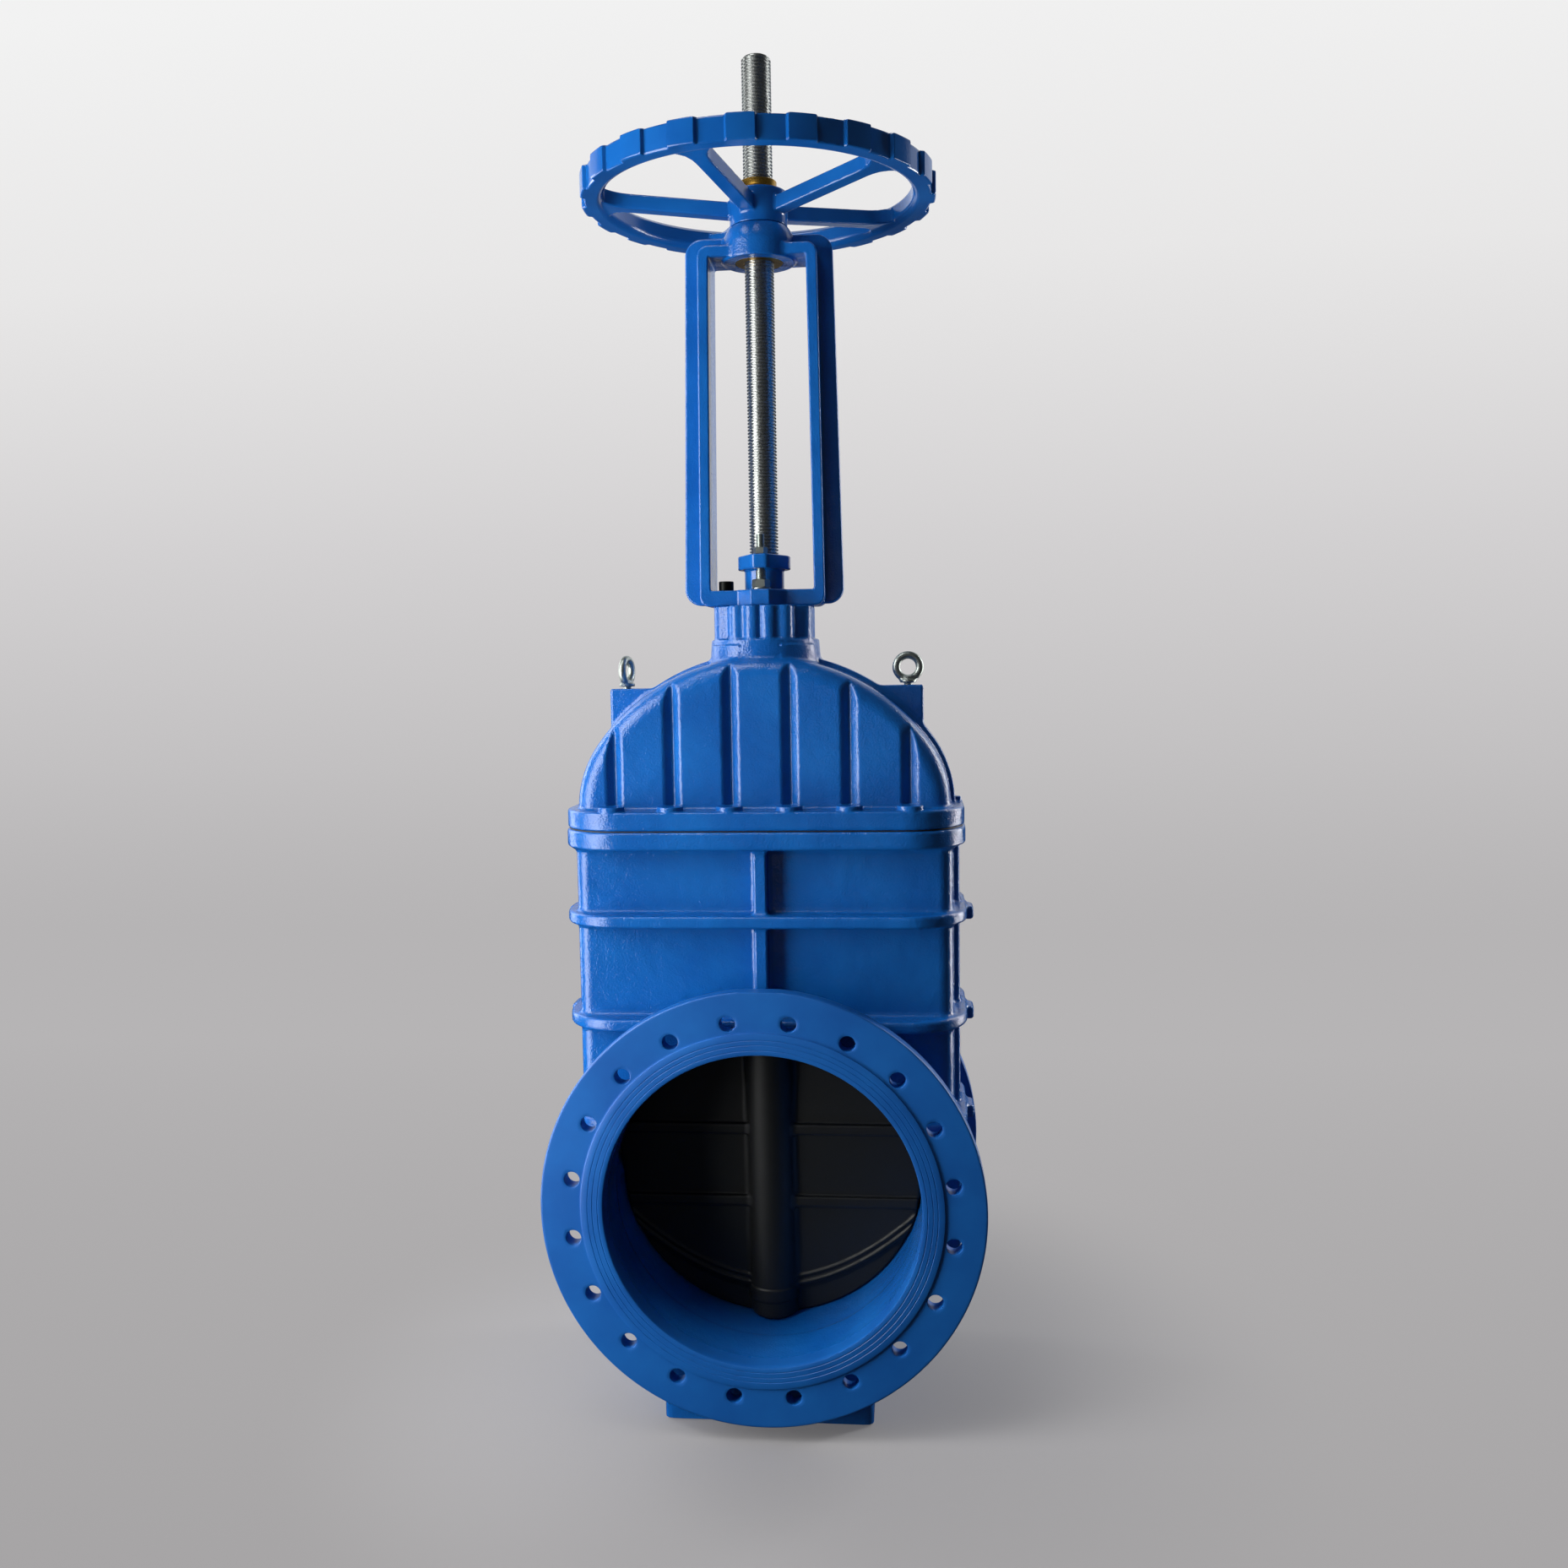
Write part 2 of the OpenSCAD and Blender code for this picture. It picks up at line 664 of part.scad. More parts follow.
// Lifting eye on a collar, with its ring turned about the upright by the given angle
module eyebolt(side, turn) {
    ring_z = eye_lift + eye_ring_r + eye_wire_r + 0.5;
    color(zinc) translate([side * eye_x, 0, eye_boss_top]) rotate([0, 0, turn]) {
        translate([0, 0, -28]) cylinder(h = 30 + eye_lift, d = stud_d, $fn = 48);
        translate([0, 0, eye_lift]) difference() {
            union() {
                cylinder(h = eye_collar_h, d = eye_collar_d);
                cylinder(h = eye_collar_h + 6, d = eye_wire_r * 3);
            }
            translate([0, 0, ring_z - eye_lift]) rotate([90, 0, 0])
                cylinder(h = 60, r = eye_ring_r - 4, center = true);
        }
        translate([0, 0, ring_z]) rotate([90, 0, 0]) rotate_extrude()
            translate([eye_ring_r, 0]) circle(eye_wire_r, $fn = 48);
    }
}

module left_eyebolt() { eyebolt(-1, 78); }

module right_eyebolt() { eyebolt(1, 4); }

module thrust_washer() {
    color(brass) translate([0, 0, hub_top]) difference() {
        cylinder(h = washer_t, d = yoke_hub_d - 12);
        translate([0, 0, -1]) cylinder(h = washer_t + 2, d = sleeve_d + 2);
    }
}

module rim() {
    up = rim_h - 10;
    translate([0, 0, rim_low]) {
        rotate_extrude($fn = 180) polygon([
            [rim_in_r, 9], [rim_in_r + 9, 0], [rim_r, 0], [rim_r, rim_h],
            [rim_in_r + 14, rim_h], [rim_in_r, up]
        ]);
        for (i = [0:grip_n - 1]) rotate([0, 0, 271.3 - 90 / grip_n + i * 360 / grip_n])
            rotate_extrude(angle = 180 / grip_n, $fn = 180)
                polygon([[rim_r - 2, 3], [wheel_r - 3, 3], [wheel_r, 6],
                         [wheel_r, rim_h - 6], [wheel_r - 3, rim_h - 3], [rim_r - 2, rim_h - 3]]);
    }
}

module spoke() {
    end = rim_in_r + 12;
    rotate([90, 0, 0]) linear_extrude(spoke_w, center = true) polygon([
        [40, spoke_low], [60, spoke_low], [end, spoke_low + wheel_dish],
        [end, spoke_low + wheel_dish + spoke_h], [60, spoke_low + spoke_h], [40, spoke_low + spoke_h]
    ]);
}

module handwheel() {
    color(coat) difference() {
        union() {
            rim();
            for (i = [0:spoke_n - 1]) rotate([0, 0, spoke_start + i * 360 / spoke_n]) spoke();
            translate([0, 0, wheel_low]) cylinder(h = wheel_hub_h, d = wheel_hub_d);
        }
        translate([0, 0, wheel_low - 1]) cylinder(h = wheel_hub_h + 2, d = sleeve_neck_d + 0.1);
    }
}

module screw_sleeve() {
    color(brass) difference() {
        union() {
            translate([0, 0, hub_low]) cylinder(h = sleeve_flange_t, d = sleeve_flange_d);
            translate([0, 0, hub_low]) cylinder(h = wheel_low - hub_low, d = sleeve_d);
            translate([0, 0, hub_low]) cylinder(h = wheel_hub_top - hub_low, d = sleeve_neck_d);
        }
        translate([0, 0, hub_low - 1]) cylinder(h = big / 4, d = stem_hole_d);
    }
}

module lock_ring() {
    color(brass) translate([0, 0, wheel_hub_top + run_gap]) difference() {
        union() {
            cylinder(h = ring_h, d = 72);
            cylinder(h = 8, d = 77);
        }
        translate([0, 0, -1]) cylinder(h = ring_h + 2, d = stem_hole_d);
    }
}

module stem() {
    foot_z = axis_h + wedge_top - 60;
    color(steel) {
        translate([0, 0, foot_z]) cylinder(h = stem_top - 5 - foot_z, d = stem_d);
        translate([0, 0, stem_top - 5]) cylinder(h = 5, d1 = stem_d, d2 = stem_d - 10);
    }
}

module wedge_outline() {
    circle(wedge_r);
    polygon([[-wedge_r, 0], [wedge_r, 0], [wedge_half_w, wedge_shoulder], [-wedge_half_w, wedge_shoulder]]);
    intersection() {
        translate([0, wedge_shoulder - 130]) circle(wedge_top - wedge_shoulder + 130);
        translate([-wedge_half_w, wedge_shoulder]) square([2 * wedge_half_w, big]);
    }
}

// Side outline of the wedge's plates, with the given amount added to each face
module wedge_side(more) {
    low = -wedge_r - 1;
    foot_t = wedge_foot_half_t + more;
    head_t = wedge_head_half_t + more;
    rotate([90, 0, 90]) linear_extrude(big, center = true) polygon([
        [-foot_t, low], [foot_t, low], [head_t, wedge_shoulder],
        [head_t, wedge_top], [-head_t, wedge_top], [-head_t, wedge_shoulder]
    ]);
}

module wedge() {
    color(rubber) in_body() difference() {
        union() {
            intersection() {
                along_pipe(wedge_head_half_t + 10) wedge_outline();
                wedge_side(0);
            }
            intersection() {
                along_pipe(wedge_head_half_t + 20) wedge_outline();
                wedge_side(8);
                for (z = [-66, 86]) translate([-big / 2, -big / 2, z]) cube([big, big, 22]);
            }
            intersection() {
                along_pipe(big / 8) wedge_outline();
                for (y = [-1, 1]) translate([0, y * (wedge_foot_half_t - 18), -wedge_r])
                    rotate([-y * atan(wedge_slope), 0, 0])
                        cylinder(h = wedge_r + wedge_top + 10, r = wedge_tube_r);
            }
            translate([-shoe_tongue_end, -shoe_half_w + 6, shoe_low + 12])
                cube([2 * shoe_tongue_end, 2 * shoe_half_w - 12, shoe_high - shoe_low - 24]);
        }
        translate([0, 0, wedge_top - 62]) cylinder(h = 100, d = stem_d + slack);
    }
}

module wedge_nut() {
    color(brass) translate([0, 0, axis_h + wedge_top]) difference() {
        translate([-52, -46, 0]) cube([104, 92, nut_h]);
        translate([0, 0, -1]) cylinder(h = nut_h + 2, d = stem_d + slack);
    }
}

module guide_shoe() {
    color(plastic) in_body() difference() {
        translate([shoe_in, -shoe_half_w, shoe_low])
            cube([shoe_end - shoe_in, 2 * shoe_half_w, shoe_high - shoe_low]);
        translate([shoe_in - 1, -shoe_half_w + 6, shoe_low + 12])
            cube([shoe_tongue_end - shoe_in + 1, 2 * shoe_half_w - 12, shoe_high - shoe_low - 24]);
    }
}

module right_guide_shoe() { guide_shoe(); }

module left_guide_shoe() { mirror([1, 0, 0]) guide_shoe(); }

body();
bonnet();
bonnet_gasket();
front_bonnet_screws();
back_bonnet_screws();
yoke();
yoke_screw();
gland();
stem_packing();
front_gland_stud();
back_gland_stud();
front_gland_nut();
back_gland_nut();
front_yoke_nut_washer();
back_yoke_nut_washer();
front_yoke_nut();
back_yoke_nut();
left_eyebolt();
right_eyebolt();
thrust_washer();
handwheel();
screw_sleeve();
lock_ring();
stem();
wedge();
wedge_nut();
left_guide_shoe();
right_guide_shoe();
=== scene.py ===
"""Resilient seated gate valve with a rising stem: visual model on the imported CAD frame.

Lengths in this file are millimetres in the frame's own directions, and a mesh gets metres.
The castings are distance fields, negative inside. In them ax and ay are distances from the middle
planes, ring is the distance from the stem's axis, and up is a height above the bore's axis or above
a shape's own base. The last number given to cut_round, join_round or plan_rect is a corner's radius.
"""

import math

import bpy
import numpy as np
from mathutils import Matrix, Vector


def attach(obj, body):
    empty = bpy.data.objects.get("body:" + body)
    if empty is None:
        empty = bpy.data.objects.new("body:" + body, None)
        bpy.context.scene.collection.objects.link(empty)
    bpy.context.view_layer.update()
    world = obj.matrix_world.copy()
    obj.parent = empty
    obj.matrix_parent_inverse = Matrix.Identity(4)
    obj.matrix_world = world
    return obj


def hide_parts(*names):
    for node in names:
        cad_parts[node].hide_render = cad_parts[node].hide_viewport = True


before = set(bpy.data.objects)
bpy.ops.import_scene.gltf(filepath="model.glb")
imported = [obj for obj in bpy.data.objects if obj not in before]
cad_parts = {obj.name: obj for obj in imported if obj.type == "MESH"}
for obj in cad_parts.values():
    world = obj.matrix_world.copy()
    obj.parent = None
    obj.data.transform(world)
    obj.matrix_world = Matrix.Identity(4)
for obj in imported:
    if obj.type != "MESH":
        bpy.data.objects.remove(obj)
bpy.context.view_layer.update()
scene = bpy.context.scene

# ---- camera
camera_data = bpy.data.cameras.new("camera")
camera = bpy.data.objects.new("camera", camera_data)
scene.collection.objects.link(camera)
camera_data.sensor_width = 36.0
camera_data.lens = 31.3764
camera_data.clip_start, camera_data.clip_end = 0.05, 60.0
yaw, pitch, roll = math.radians(5.41), math.radians(-5.0), math.radians(-0.90)
camera.location = (0.2881, -2.7025, 1.4682)
turn = (Matrix.Rotation(yaw, 4, "Z") @ Matrix.Rotation(math.pi / 2 + pitch, 4, "X")
        @ Matrix.Rotation(roll, 4, "Z"))
camera.rotation_mode = "QUATERNION"
camera.rotation_quaternion = turn.to_quaternion()
scene.camera = camera

# ---- sizes
# W and D are half a width and half a depth, R is a radius, LOW and TOP are heights above the floor.
AXIS = 450  # the bore's axis
BORE_R, PIPE_R, CHEST_LOW_R = 300, 318, 340
CHEST_W, CHEST_D, CHEST_WALL, CHEST_CORNER = 362, 145, 16, 28
HOUSING_W, HOUSING_D, CHANNEL_W, CHANNEL_D = 378, 28, 362, 20
BAND_W, BAND_D, BAND_CORNER, BAND_H, LUG_W = 390, 187, 115, 24, 405
BAND_UPS = (123, 323, 523)  # undersides, above the bore's axis
TOP_W, TOP_D, TOP_CORNER = 388, 192, 120  # the body's top flange
FOOT_W, FOOT_D, FOOT_WALL, FOOT_ROOM = 204, 180, 26, 84
TOP_LOW, JOINT, GASKET = 1122, 1157, 2
FACE, RAISED, BACK = 250, 254, 218  # the end flange's levels from the middle
FLANGE_R, FLANGE_FLAT, RAISED_R = 420, 417.8, 342
HOLES, HOLE_CIRCLE_R, HOLE_R = 20, 362.5, 15
DOME_BASE, DOME_TOP, DOME_D, DOME_STEP, SHOULDER_R = 1195, 1493, 135, 10, 38
HAUNCH_X, HAUNCH_R = 150, 220
FLUTE_HALF, FLUTE_DEEP = 16.5, 15
SCREW_X = (-282.5, -169.5, -56.5, 56.5, 169.5, 282.5)
RIGHT_SCREW_X = SCREW_X[3:]
SCREW_Y, SCREW_RECESS_R, SCREW_RECESS = 163.5, 16.5, 21
EYE_X, EYE_BASE, EYE_RING_UP, EYE_RING_R, EYE_WIRE_R = 280, 1425, 35, 23, 7.5
NECK_TOP, PLATE_TOP, NECK_R, LOBE_R = 1582, 1613, 92, 105
PACKING_LOW, PACKING_TOP, PACKING_R = 1522, 1562, 42
BAR_LOW, BAR_TOP, HUB_LOW, HUB_TOP = 2243, 2287, 2239, 2305
LEG_W, WINDOW_W, LEG_LEAN, LEG_D = 122, 101, 8, 50
LEG_TOP = BAR_LOW + 21
RIB_LOW_W, RIB_TOP_W, RIB_D = 157, 142, 14
GLAND_LOW, GLAND_TOP, STUD_Y = 1653, 1680, 66
GLAND_R, GLAND_END_R = 51.8, 22
WHEEL_LOW, HUB_H, HUB_R, WHEEL_R, RIM_LOW, RIM_H = 2308, 62, 55.5, 340, 2348, 45
RIM_IN, GRIPS, GRIP_DEEP, GRIP_TURN = 296, 20, 8, 0.023
SPOKES, SPOKE_LOW, SPOKE_H, SPOKE_HALF, SPOKE_START = 5, 2326, 28, 15, 181.5
HUB_STEP_R, WHEEL_BORE_R = 49.4, 37.1
SLEEVE_R, SLEEVE_TOP_R, SLEEVE_BORE = 42, 37, 28.9
STEM_R, STEM_TOP, STEM_PITCH, THREAD_LOW, STEM_WAY_R = 28.5, 2620.3, 6.35, 1590, 29
WEDGE_R, WEDGE_W, WEDGE_TOP, TUBE_R = 299.5, 318, 780, 50
SHOE_LOW, SHOE_TOP, SHOE_X = AXIS - 110, AXIS + 20, 330
TONGUE_X, TONGUE_D, TONGUE_LOW, TONGUE_TOP = 316, 8, AXIS - 98, AXIS + 8
QUARTER = (0, 0.5, 1, 1.57)  # a quarter turn in three steps


# ---- fields
def cut_round(a, b, r):
    """Both a and b, with an outside corner of radius r: max, less a quarter circle near the edge."""
    return np.minimum(-r, np.maximum(a, b)) + np.hypot(np.maximum(a + r, 0), np.maximum(b + r, 0))


def join_round(a, b, r):
    """Either a or b, with an inside fillet of radius r where the two surfaces meet."""
    return np.maximum(r, np.minimum(a, b)) - np.hypot(np.maximum(r - a, 0), np.maximum(r - b, 0))


def plan_rect(x, y, half_w, half_d, r):
    """Distance to a rectangle with corner radius r in the plane."""
    qx, qy = np.abs(x) - half_w + r, np.abs(y) - half_d + r
    return np.hypot(np.maximum(qx, 0), np.maximum(qy, 0)) + np.minimum(np.maximum(qx, qy), 0) - r


def slab(v, low, high):
    """Distance to the layer between two levels."""
    return np.abs(v - (low + high) / 2) - (high - low) / 2


def ramp(v, a, b, at_a, at_b):
    """Straight line from at_a to at_b while v goes from a to b, level outside."""
    return at_a + (at_b - at_a) * np.clip((v - a) / (b - a), 0, 1)


def steps(*runs):
    """Grid lines from runs of (end, spacing), the first run giving the start."""
    at = [runs[0]]
    for end, gap in runs[1:]:
        n = max(1, round((end - at[-1]) / gap))
        at.extend(np.linspace(at[-1], end, n + 1)[1:])
    return np.array(at)


def both_ways(*runs):
    """Grid lines as steps gives, mirrored about zero."""
    half = steps(*runs)
    return np.concatenate([-half[:0:-1], half])


# ---- meshes
def surface(field, xs, ys, zs, warp=None):
    """Quads over field = 0 on a grid: each crossed cell holds one point, the mean of its edge
    crossings, moved onto the surface along the slope, and each crossed edge joins four cells.
    warp turns grid coordinates into x, y, z, so that grid lines can follow the shape."""
    lines = (xs, ys, zs)
    grid = (xs[:, None, None], ys[None, :, None], zs[None, None, :])
    f = field(*(warp(*grid) if warp else grid))
    f = np.broadcast_to(f, (len(xs), len(ys), len(zs))).astype(np.float32)
    inside = f < 0
    shape = tuple(n - 1 for n in f.shape)
    total, hits, crossings = np.zeros((3,) + shape, np.float32), np.zeros(shape, np.float32), []
    for axis in range(3):
        a, b = [tuple(slice(k, k + f.shape[d] - 1) if d == axis else slice(None) for d in range(3))
                for k in (0, 1)]
        hit = inside[a] != inside[b]
        t = np.where(hit, f[a] / np.where(hit, f[a] - f[b], 1), 0)
        others = [d for d in range(3) if d != axis]
        for i in (0, 1):
            for j in (0, 1):
                cut = [slice(None)] * 3
                cut[others[0]] = slice(i, i + shape[others[0]])
                cut[others[1]] = slice(j, j + shape[others[1]])
                h, part = hit[tuple(cut)], t[tuple(cut)]
                hits += h
                for d in range(3):
                    form = [1, 1, 1]
                    form[d] = -1
                    if d == axis:
                        place = lines[d][:-1].reshape(form) + part * np.diff(lines[d]).reshape(form)
                    else:
                        place = lines[d][(i if d == others[0] else j):][:shape[d]].reshape(form)
                    total[d] += h * place
        crossings.append(hit)
    used = hits > 0
    number = np.full(shape, -1, np.int64)
    number[used] = np.arange(used.sum())
    points = [(total[d][used] / hits[used]).astype(float) for d in range(3)]
    points = np.stack(warp(*points) if warp else points, 1)
    faces = []
    for axis in range(3):
        u, v = (axis + 1) % 3, (axis + 2) % 3
        hit = crossings[axis].copy()
        for d in (u, v):
            for edge in (0, -1):
                hit[tuple(edge if k == d else slice(None) for k in range(3))] = False
        at = np.stack(np.nonzero(hit), 1)
        quad = []
        for du, dv in ((-1, -1), (0, -1), (0, 0), (-1, 0)):
            cell = at.copy()
            cell[:, u] += du
            cell[:, v] += dv
            quad.append(number[tuple(cell.T)])
        quad = np.stack(quad, 1)
        flip = ~inside[tuple(at.T)]
        quad[flip] = quad[flip][:, ::-1]
        faces.append(quad)
    passes, least_slope, most_move = 3, 0.2, 3.0
    for _ in range(passes):
        value, slope = field_slope(field, points)
        move = slope * (value / np.maximum((slope ** 2).sum(1), least_slope))[:, None]
        points -= np.clip(move, -most_move, most_move)
    return points, np.concatenate(faces), unit(field_slope(field, points)[1])


def field_slope(field, p):
    """The field at each point and its slope from central differences 0.3 mm either way."""
    x, y, z = p.T
    e = 0.3
    slope = np.stack([field(x + e, y, z) - field(x - e, y, z), field(x, y + e, z) - field(x, y - e, z),
                      field(x, y, z + e) - field(x, y, z - e)], 1) / (2 * e)
    return field(x, y, z), slope


def unit(v):
    """Each row over its length."""
    return v / np.maximum(np.linalg.norm(v, axis=1, keepdims=True), 1e-9)


def grid_quads(nu, nv, wrap_u=False, wrap_v=False):
    """Quads of a grid whose point (i, j) has number i * nv + j."""
    i, j = np.meshgrid(np.arange(nu if wrap_u else nu - 1), np.arange(nv if wrap_v else nv - 1),
                       indexing="ij")
    i2, j2 = (i + 1) % nu, (j + 1) % nv
    return np.stack([i * nv + j, i2 * nv + j, i2 * nv + j2, i * nv + j2], -1).reshape(-1, 4)


def turned(rows, n=64, centre=(0, 0, 0)):
    """Rows of (radius, height) turned about Z: x = r cos t, y = r sin t, z = h. Either may be an
    array over t. The rows close into a ring unless the first or last radius is 0, which is a pole."""
    t = np.arange(n) * 2 * np.pi / n
    poles = [rows[k] for k in (0, -1) if np.isscalar(rows[k][0]) and rows[k][0] == 0]
    rings = [row for row in rows if not (np.isscalar(row[0]) and row[0] == 0)]
    r = np.stack([np.broadcast_to(row[0], n) for row in rings], 1)
    h = np.stack([np.broadcast_to(row[1], n) for row in rings], 1)
    m = len(rings)
    p = np.stack([r * np.cos(t)[:, None], r * np.sin(t)[:, None], h], -1).reshape(-1, 3)
    faces = [grid_quads(n, m, True, not poles)]
    i, j = np.arange(n) * m, (np.arange(n) + 1) % n * m
    for pole in poles:
        p = np.concatenate([p, [[0, 0, pole[1]]]])
        top = np.full(n, len(p) - 1)
        if pole is rows[0]:
            faces.append(np.stack([top, j, i], 1))
        else:
            faces.append(np.stack([i + m - 1, j + m - 1, top], 1))
    return p + centre, faces


def ring_rows(r_in, r_out, low, high, c=0.6):
    """Section of a ring with its edges broken by c, for turned."""
    return [(r_in, low + c), (r_in + c, low), (r_out - c, low), (r_out, low + c), (r_out, high - c),
            (r_out - c, high), (r_in + c, high), (r_in, high - c)]


def hexagon(across, n):
    """Radius of a hexagon by angle: half the width across flats over the cosine from the flat's middle."""
    t = np.arange(n) * 2 * np.pi / n
    return across / 2 / np.cos(t % (np.pi / 3) - np.pi / 6)


def hex_nut(across, height, bore, place):
    """Nut: the six flats end in 30 degree chamfers, height = edge - (r - r0) tan 30."""
    n, tan_30 = 72, 0.577
    r, r0, bore_r = hexagon(across, n), across * 0.475, bore / 2
    fall = (r - r0) * tan_30
    rows = [(bore_r, 1.0), (bore_r + 1, 0.0), (r0, 0.0), (r, fall), (r, height - fall), (r0, height),
            (bore_r + 1, height), (bore_r, height - 1)]
    return turned(rows, n, place)


def cap_screw(head, height, across, depth, shank, length, place, up=1):
    """Socket screw about Z: hexagonal socket, head with a rounded edge, shank, from socket to tip."""
    n, edge_r, break_, head_r, shank_r = 72, 1.6, 1.5, head / 2, shank / 2
    hexa = hexagon(across, n)
    rows = [(0, height - depth - break_), (hexa * 0.7, height - depth), (hexa, height - depth),
            (hexa, height - 0.8), (hexa + 0.8, height)]
    rows += [(head_r - edge_r + edge_r * math.sin(a), height - edge_r + edge_r * math.cos(a))
             for a in QUARTER]
    rows += [(head_r, 0.5), (head_r - 0.5, 0), (shank_r, 0), (shank_r, break_ - length),
             (shank_r - break_, -length), (0, -length)]
    p, faces = turned(rows, n)
    return p * [1, up, up] + place, faces


def threaded(r, depth, pitch, low, high, break_, hand=1, rows_a_turn=10, n=48):
    """Threaded rod: radius = r - depth s(u) with s a softened trapezoid of u = z / pitch - hand t / 2 pi,
    limited by a 45 degree chamfer break_ wide at the ends."""
    sharp, near = 2.4, 0.1
    t = np.arange(n) * 2 * np.pi / n
    z = np.linspace(low, high, int((high - low) / pitch * rows_a_turn))

    def radius(z):
        """Radius at heights z for each angle t."""
        s = 0.5 + 0.5 * np.tanh(sharp * np.cos(2 * np.pi * (z / pitch - hand * t[:, None] / 2 / np.pi)))
        edge = r - break_ + np.minimum(z - low, high - z)
        return np.minimum(r - depth * s, edge)

    rad = radius(z[None, :])
    slope = (radius(z[None, :] + near) - radius(z[None, :] - near)) / (2 * near)
    c, s_ = np.cos(t)[:, None], np.sin(t)[:, None]
    p = np.stack([rad * c, rad * s_, np.broadcast_to(z, rad.shape)], -1).reshape(-1, 3)
    normals = unit(np.stack([c + 0 * slope, s_ + 0 * slope, -slope], -1).reshape(-1, 3))
    m = len(z)
    faces = [grid_quads(n, m, True, False)]
    for row, end, order in ((0, low, (2, 1, 0)), (m - 1, high, (0, 1, 2))):
        k = len(p)
        circle = np.stack([rad[:, row] * c[:, 0], rad[:, row] * s_[:, 0], np.full(n, end)], 1)
        p = np.concatenate([p, circle, [[0, 0, end]]])
        normals = np.concatenate([normals, np.tile([0, 0, 1.0 if row else -1.0], (n + 1, 1))])
        a = k + np.arange(n)
        faces.append(np.stack([a, k + (np.arange(n) + 1) % n, np.full(n, k + n)], 1)[:, order])
    return p, faces, normals


def outline(half_w, half_d, r):
    """Rounded rectangle as points: four quarter circles joined by straights."""
    per = 12
    a = np.linspace(0, np.pi / 2, per)
    turn = (a[None, :] + np.arange(4)[:, None] * np.pi / 2).ravel()
    sx = np.repeat([1, -1, -1, 1], per) * (half_w - r)
    sy = np.repeat([1, 1, -1, -1], per) * (half_d - r)
    return np.stack([sx + r * np.cos(turn), sy + r * np.sin(turn)], 1)


def join(*parts):
    """Several (points, faces) shapes as one."""
    points, faces, n = [], [], 0
    for p, f in parts:
        points.append(p)
        faces.extend(g + n for g in (f if isinstance(f, list) else [f]))
        n += len(p)
    return np.concatenate(points), faces


def weld(points, faces):
    """Shares points that round to the same hundredth of a millimetre."""
    key, back = np.unique(np.round(points * 100).astype(np.int64), axis=0, return_inverse=True)
    return key / 100.0, [back.reshape(-1)[f] for f in (faces if isinstance(faces, list) else [faces])]


def signed_volume(points, faces):
    """Sum of p0 . (p1 x p2) / 6 over the faces' fans, measured from the middle of the shape."""
    p = points - points.mean(0)
    total = 0.0
    for f in faces:
        for k in range(1, f.shape[1] - 1):
            total += (p[f[:, 0]] * np.cross(p[f[:, k]], p[f[:, k + 1]])).sum()
    return total / 6


def piece(name, body, slot, shape, replaces, finish_=None):
    """Mesh object in metres from (points, faces) or (points, faces, normals), with its faces outward.
    Without normals, edges of more than sharp_from degrees stay sharp."""
    sharp_from = 32
    points, faces = shape[0], shape[1] if isinstance(shape[1], list) else [shape[1]]
    if signed_volume(points, faces) < 0:
        faces = [f[:, ::-1] for f in faces]
    mesh = bpy.data.meshes.new(name)
    mesh.vertices.add(len(points))
    mesh.vertices.foreach_set("co", (points / 1000).astype(np.float32).ravel())
    corners = np.concatenate([f.ravel() for f in faces])
    sizes = np.concatenate([np.full(len(f), f.shape[1]) for f in faces])
    mesh.loops.add(len(corners))
    mesh.loops.foreach_set("vertex_index", corners.astype(np.int32))
    mesh.polygons.add(len(sizes))
    mesh.polygons.foreach_set("loop_start", (np.cumsum(sizes) - sizes).astype(np.int32))
    mesh.update(calc_edges=True)
    mesh.validate()
    mesh.shade_smooth()
    if len(shape) > 2:
        mesh.normals_split_custom_set_from_vertices(shape[2].astype(np.float32).tolist())
    else:
        mesh.set_sharp_from_angle(angle=math.radians(sharp_from))
    o = bpy.data.objects.new(name, mesh)
    scene.collection.objects.link(o)
    mesh.materials.append(mats[finish_ or slot])
    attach(o, body)
    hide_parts(*replaces)


# ---- materials
def hex_colour(code):
    """Linear RGBA of an sRGB hex string."""
    s = np.array([int(code[i:i + 2], 16) for i in (1, 3, 5)]) / 255.0
    lin = np.where(s <= 0.04045, s / 12.92, ((s + 0.055) / 1.055) ** 2.4)
    return (*lin.tolist(), 1.0)


def node(tree, kind, links=(), stops=(), **settings):
    """Adds a node; settings are its properties, or its inputs when in_ leads the name, and stops are
    the (position, hex) colours that it picks between."""
    n = tree.nodes.new(kind)
    for key, value in settings.items():
        if key.startswith("in_"):
            k = key[3:].replace("_", " ")
            n.inputs[int(k) if k.isdigit() else k].default_value = value
        else:
            setattr(n, key, value)
    for k, (at, code) in enumerate(stops):
        e = n.color_ramp.elements[k] if k < 2 else n.color_ramp.elements.new(at)
        e.position, e.color = at, hex_colour(code)
    for source, target in links:
        tree.links.new(source, n.inputs[target])
    return n


def finish(name, code, metallic, roughness, **sockets):
    """Principled material with its plain values set on the shader."""
    m = bpy.data.materials.new(name)
    m.use_nodes = True
    b = m.node_tree.nodes["Principled BSDF"]
    b.inputs["Base Color"].default_value = hex_colour(code)
    b.inputs["Metallic"].default_value = metallic
    b.inputs["Roughness"].default_value = roughness
    for key, value in sockets.items():
        b.inputs[key.replace("_", " ")].default_value = value
    return m, m.node_tree, b


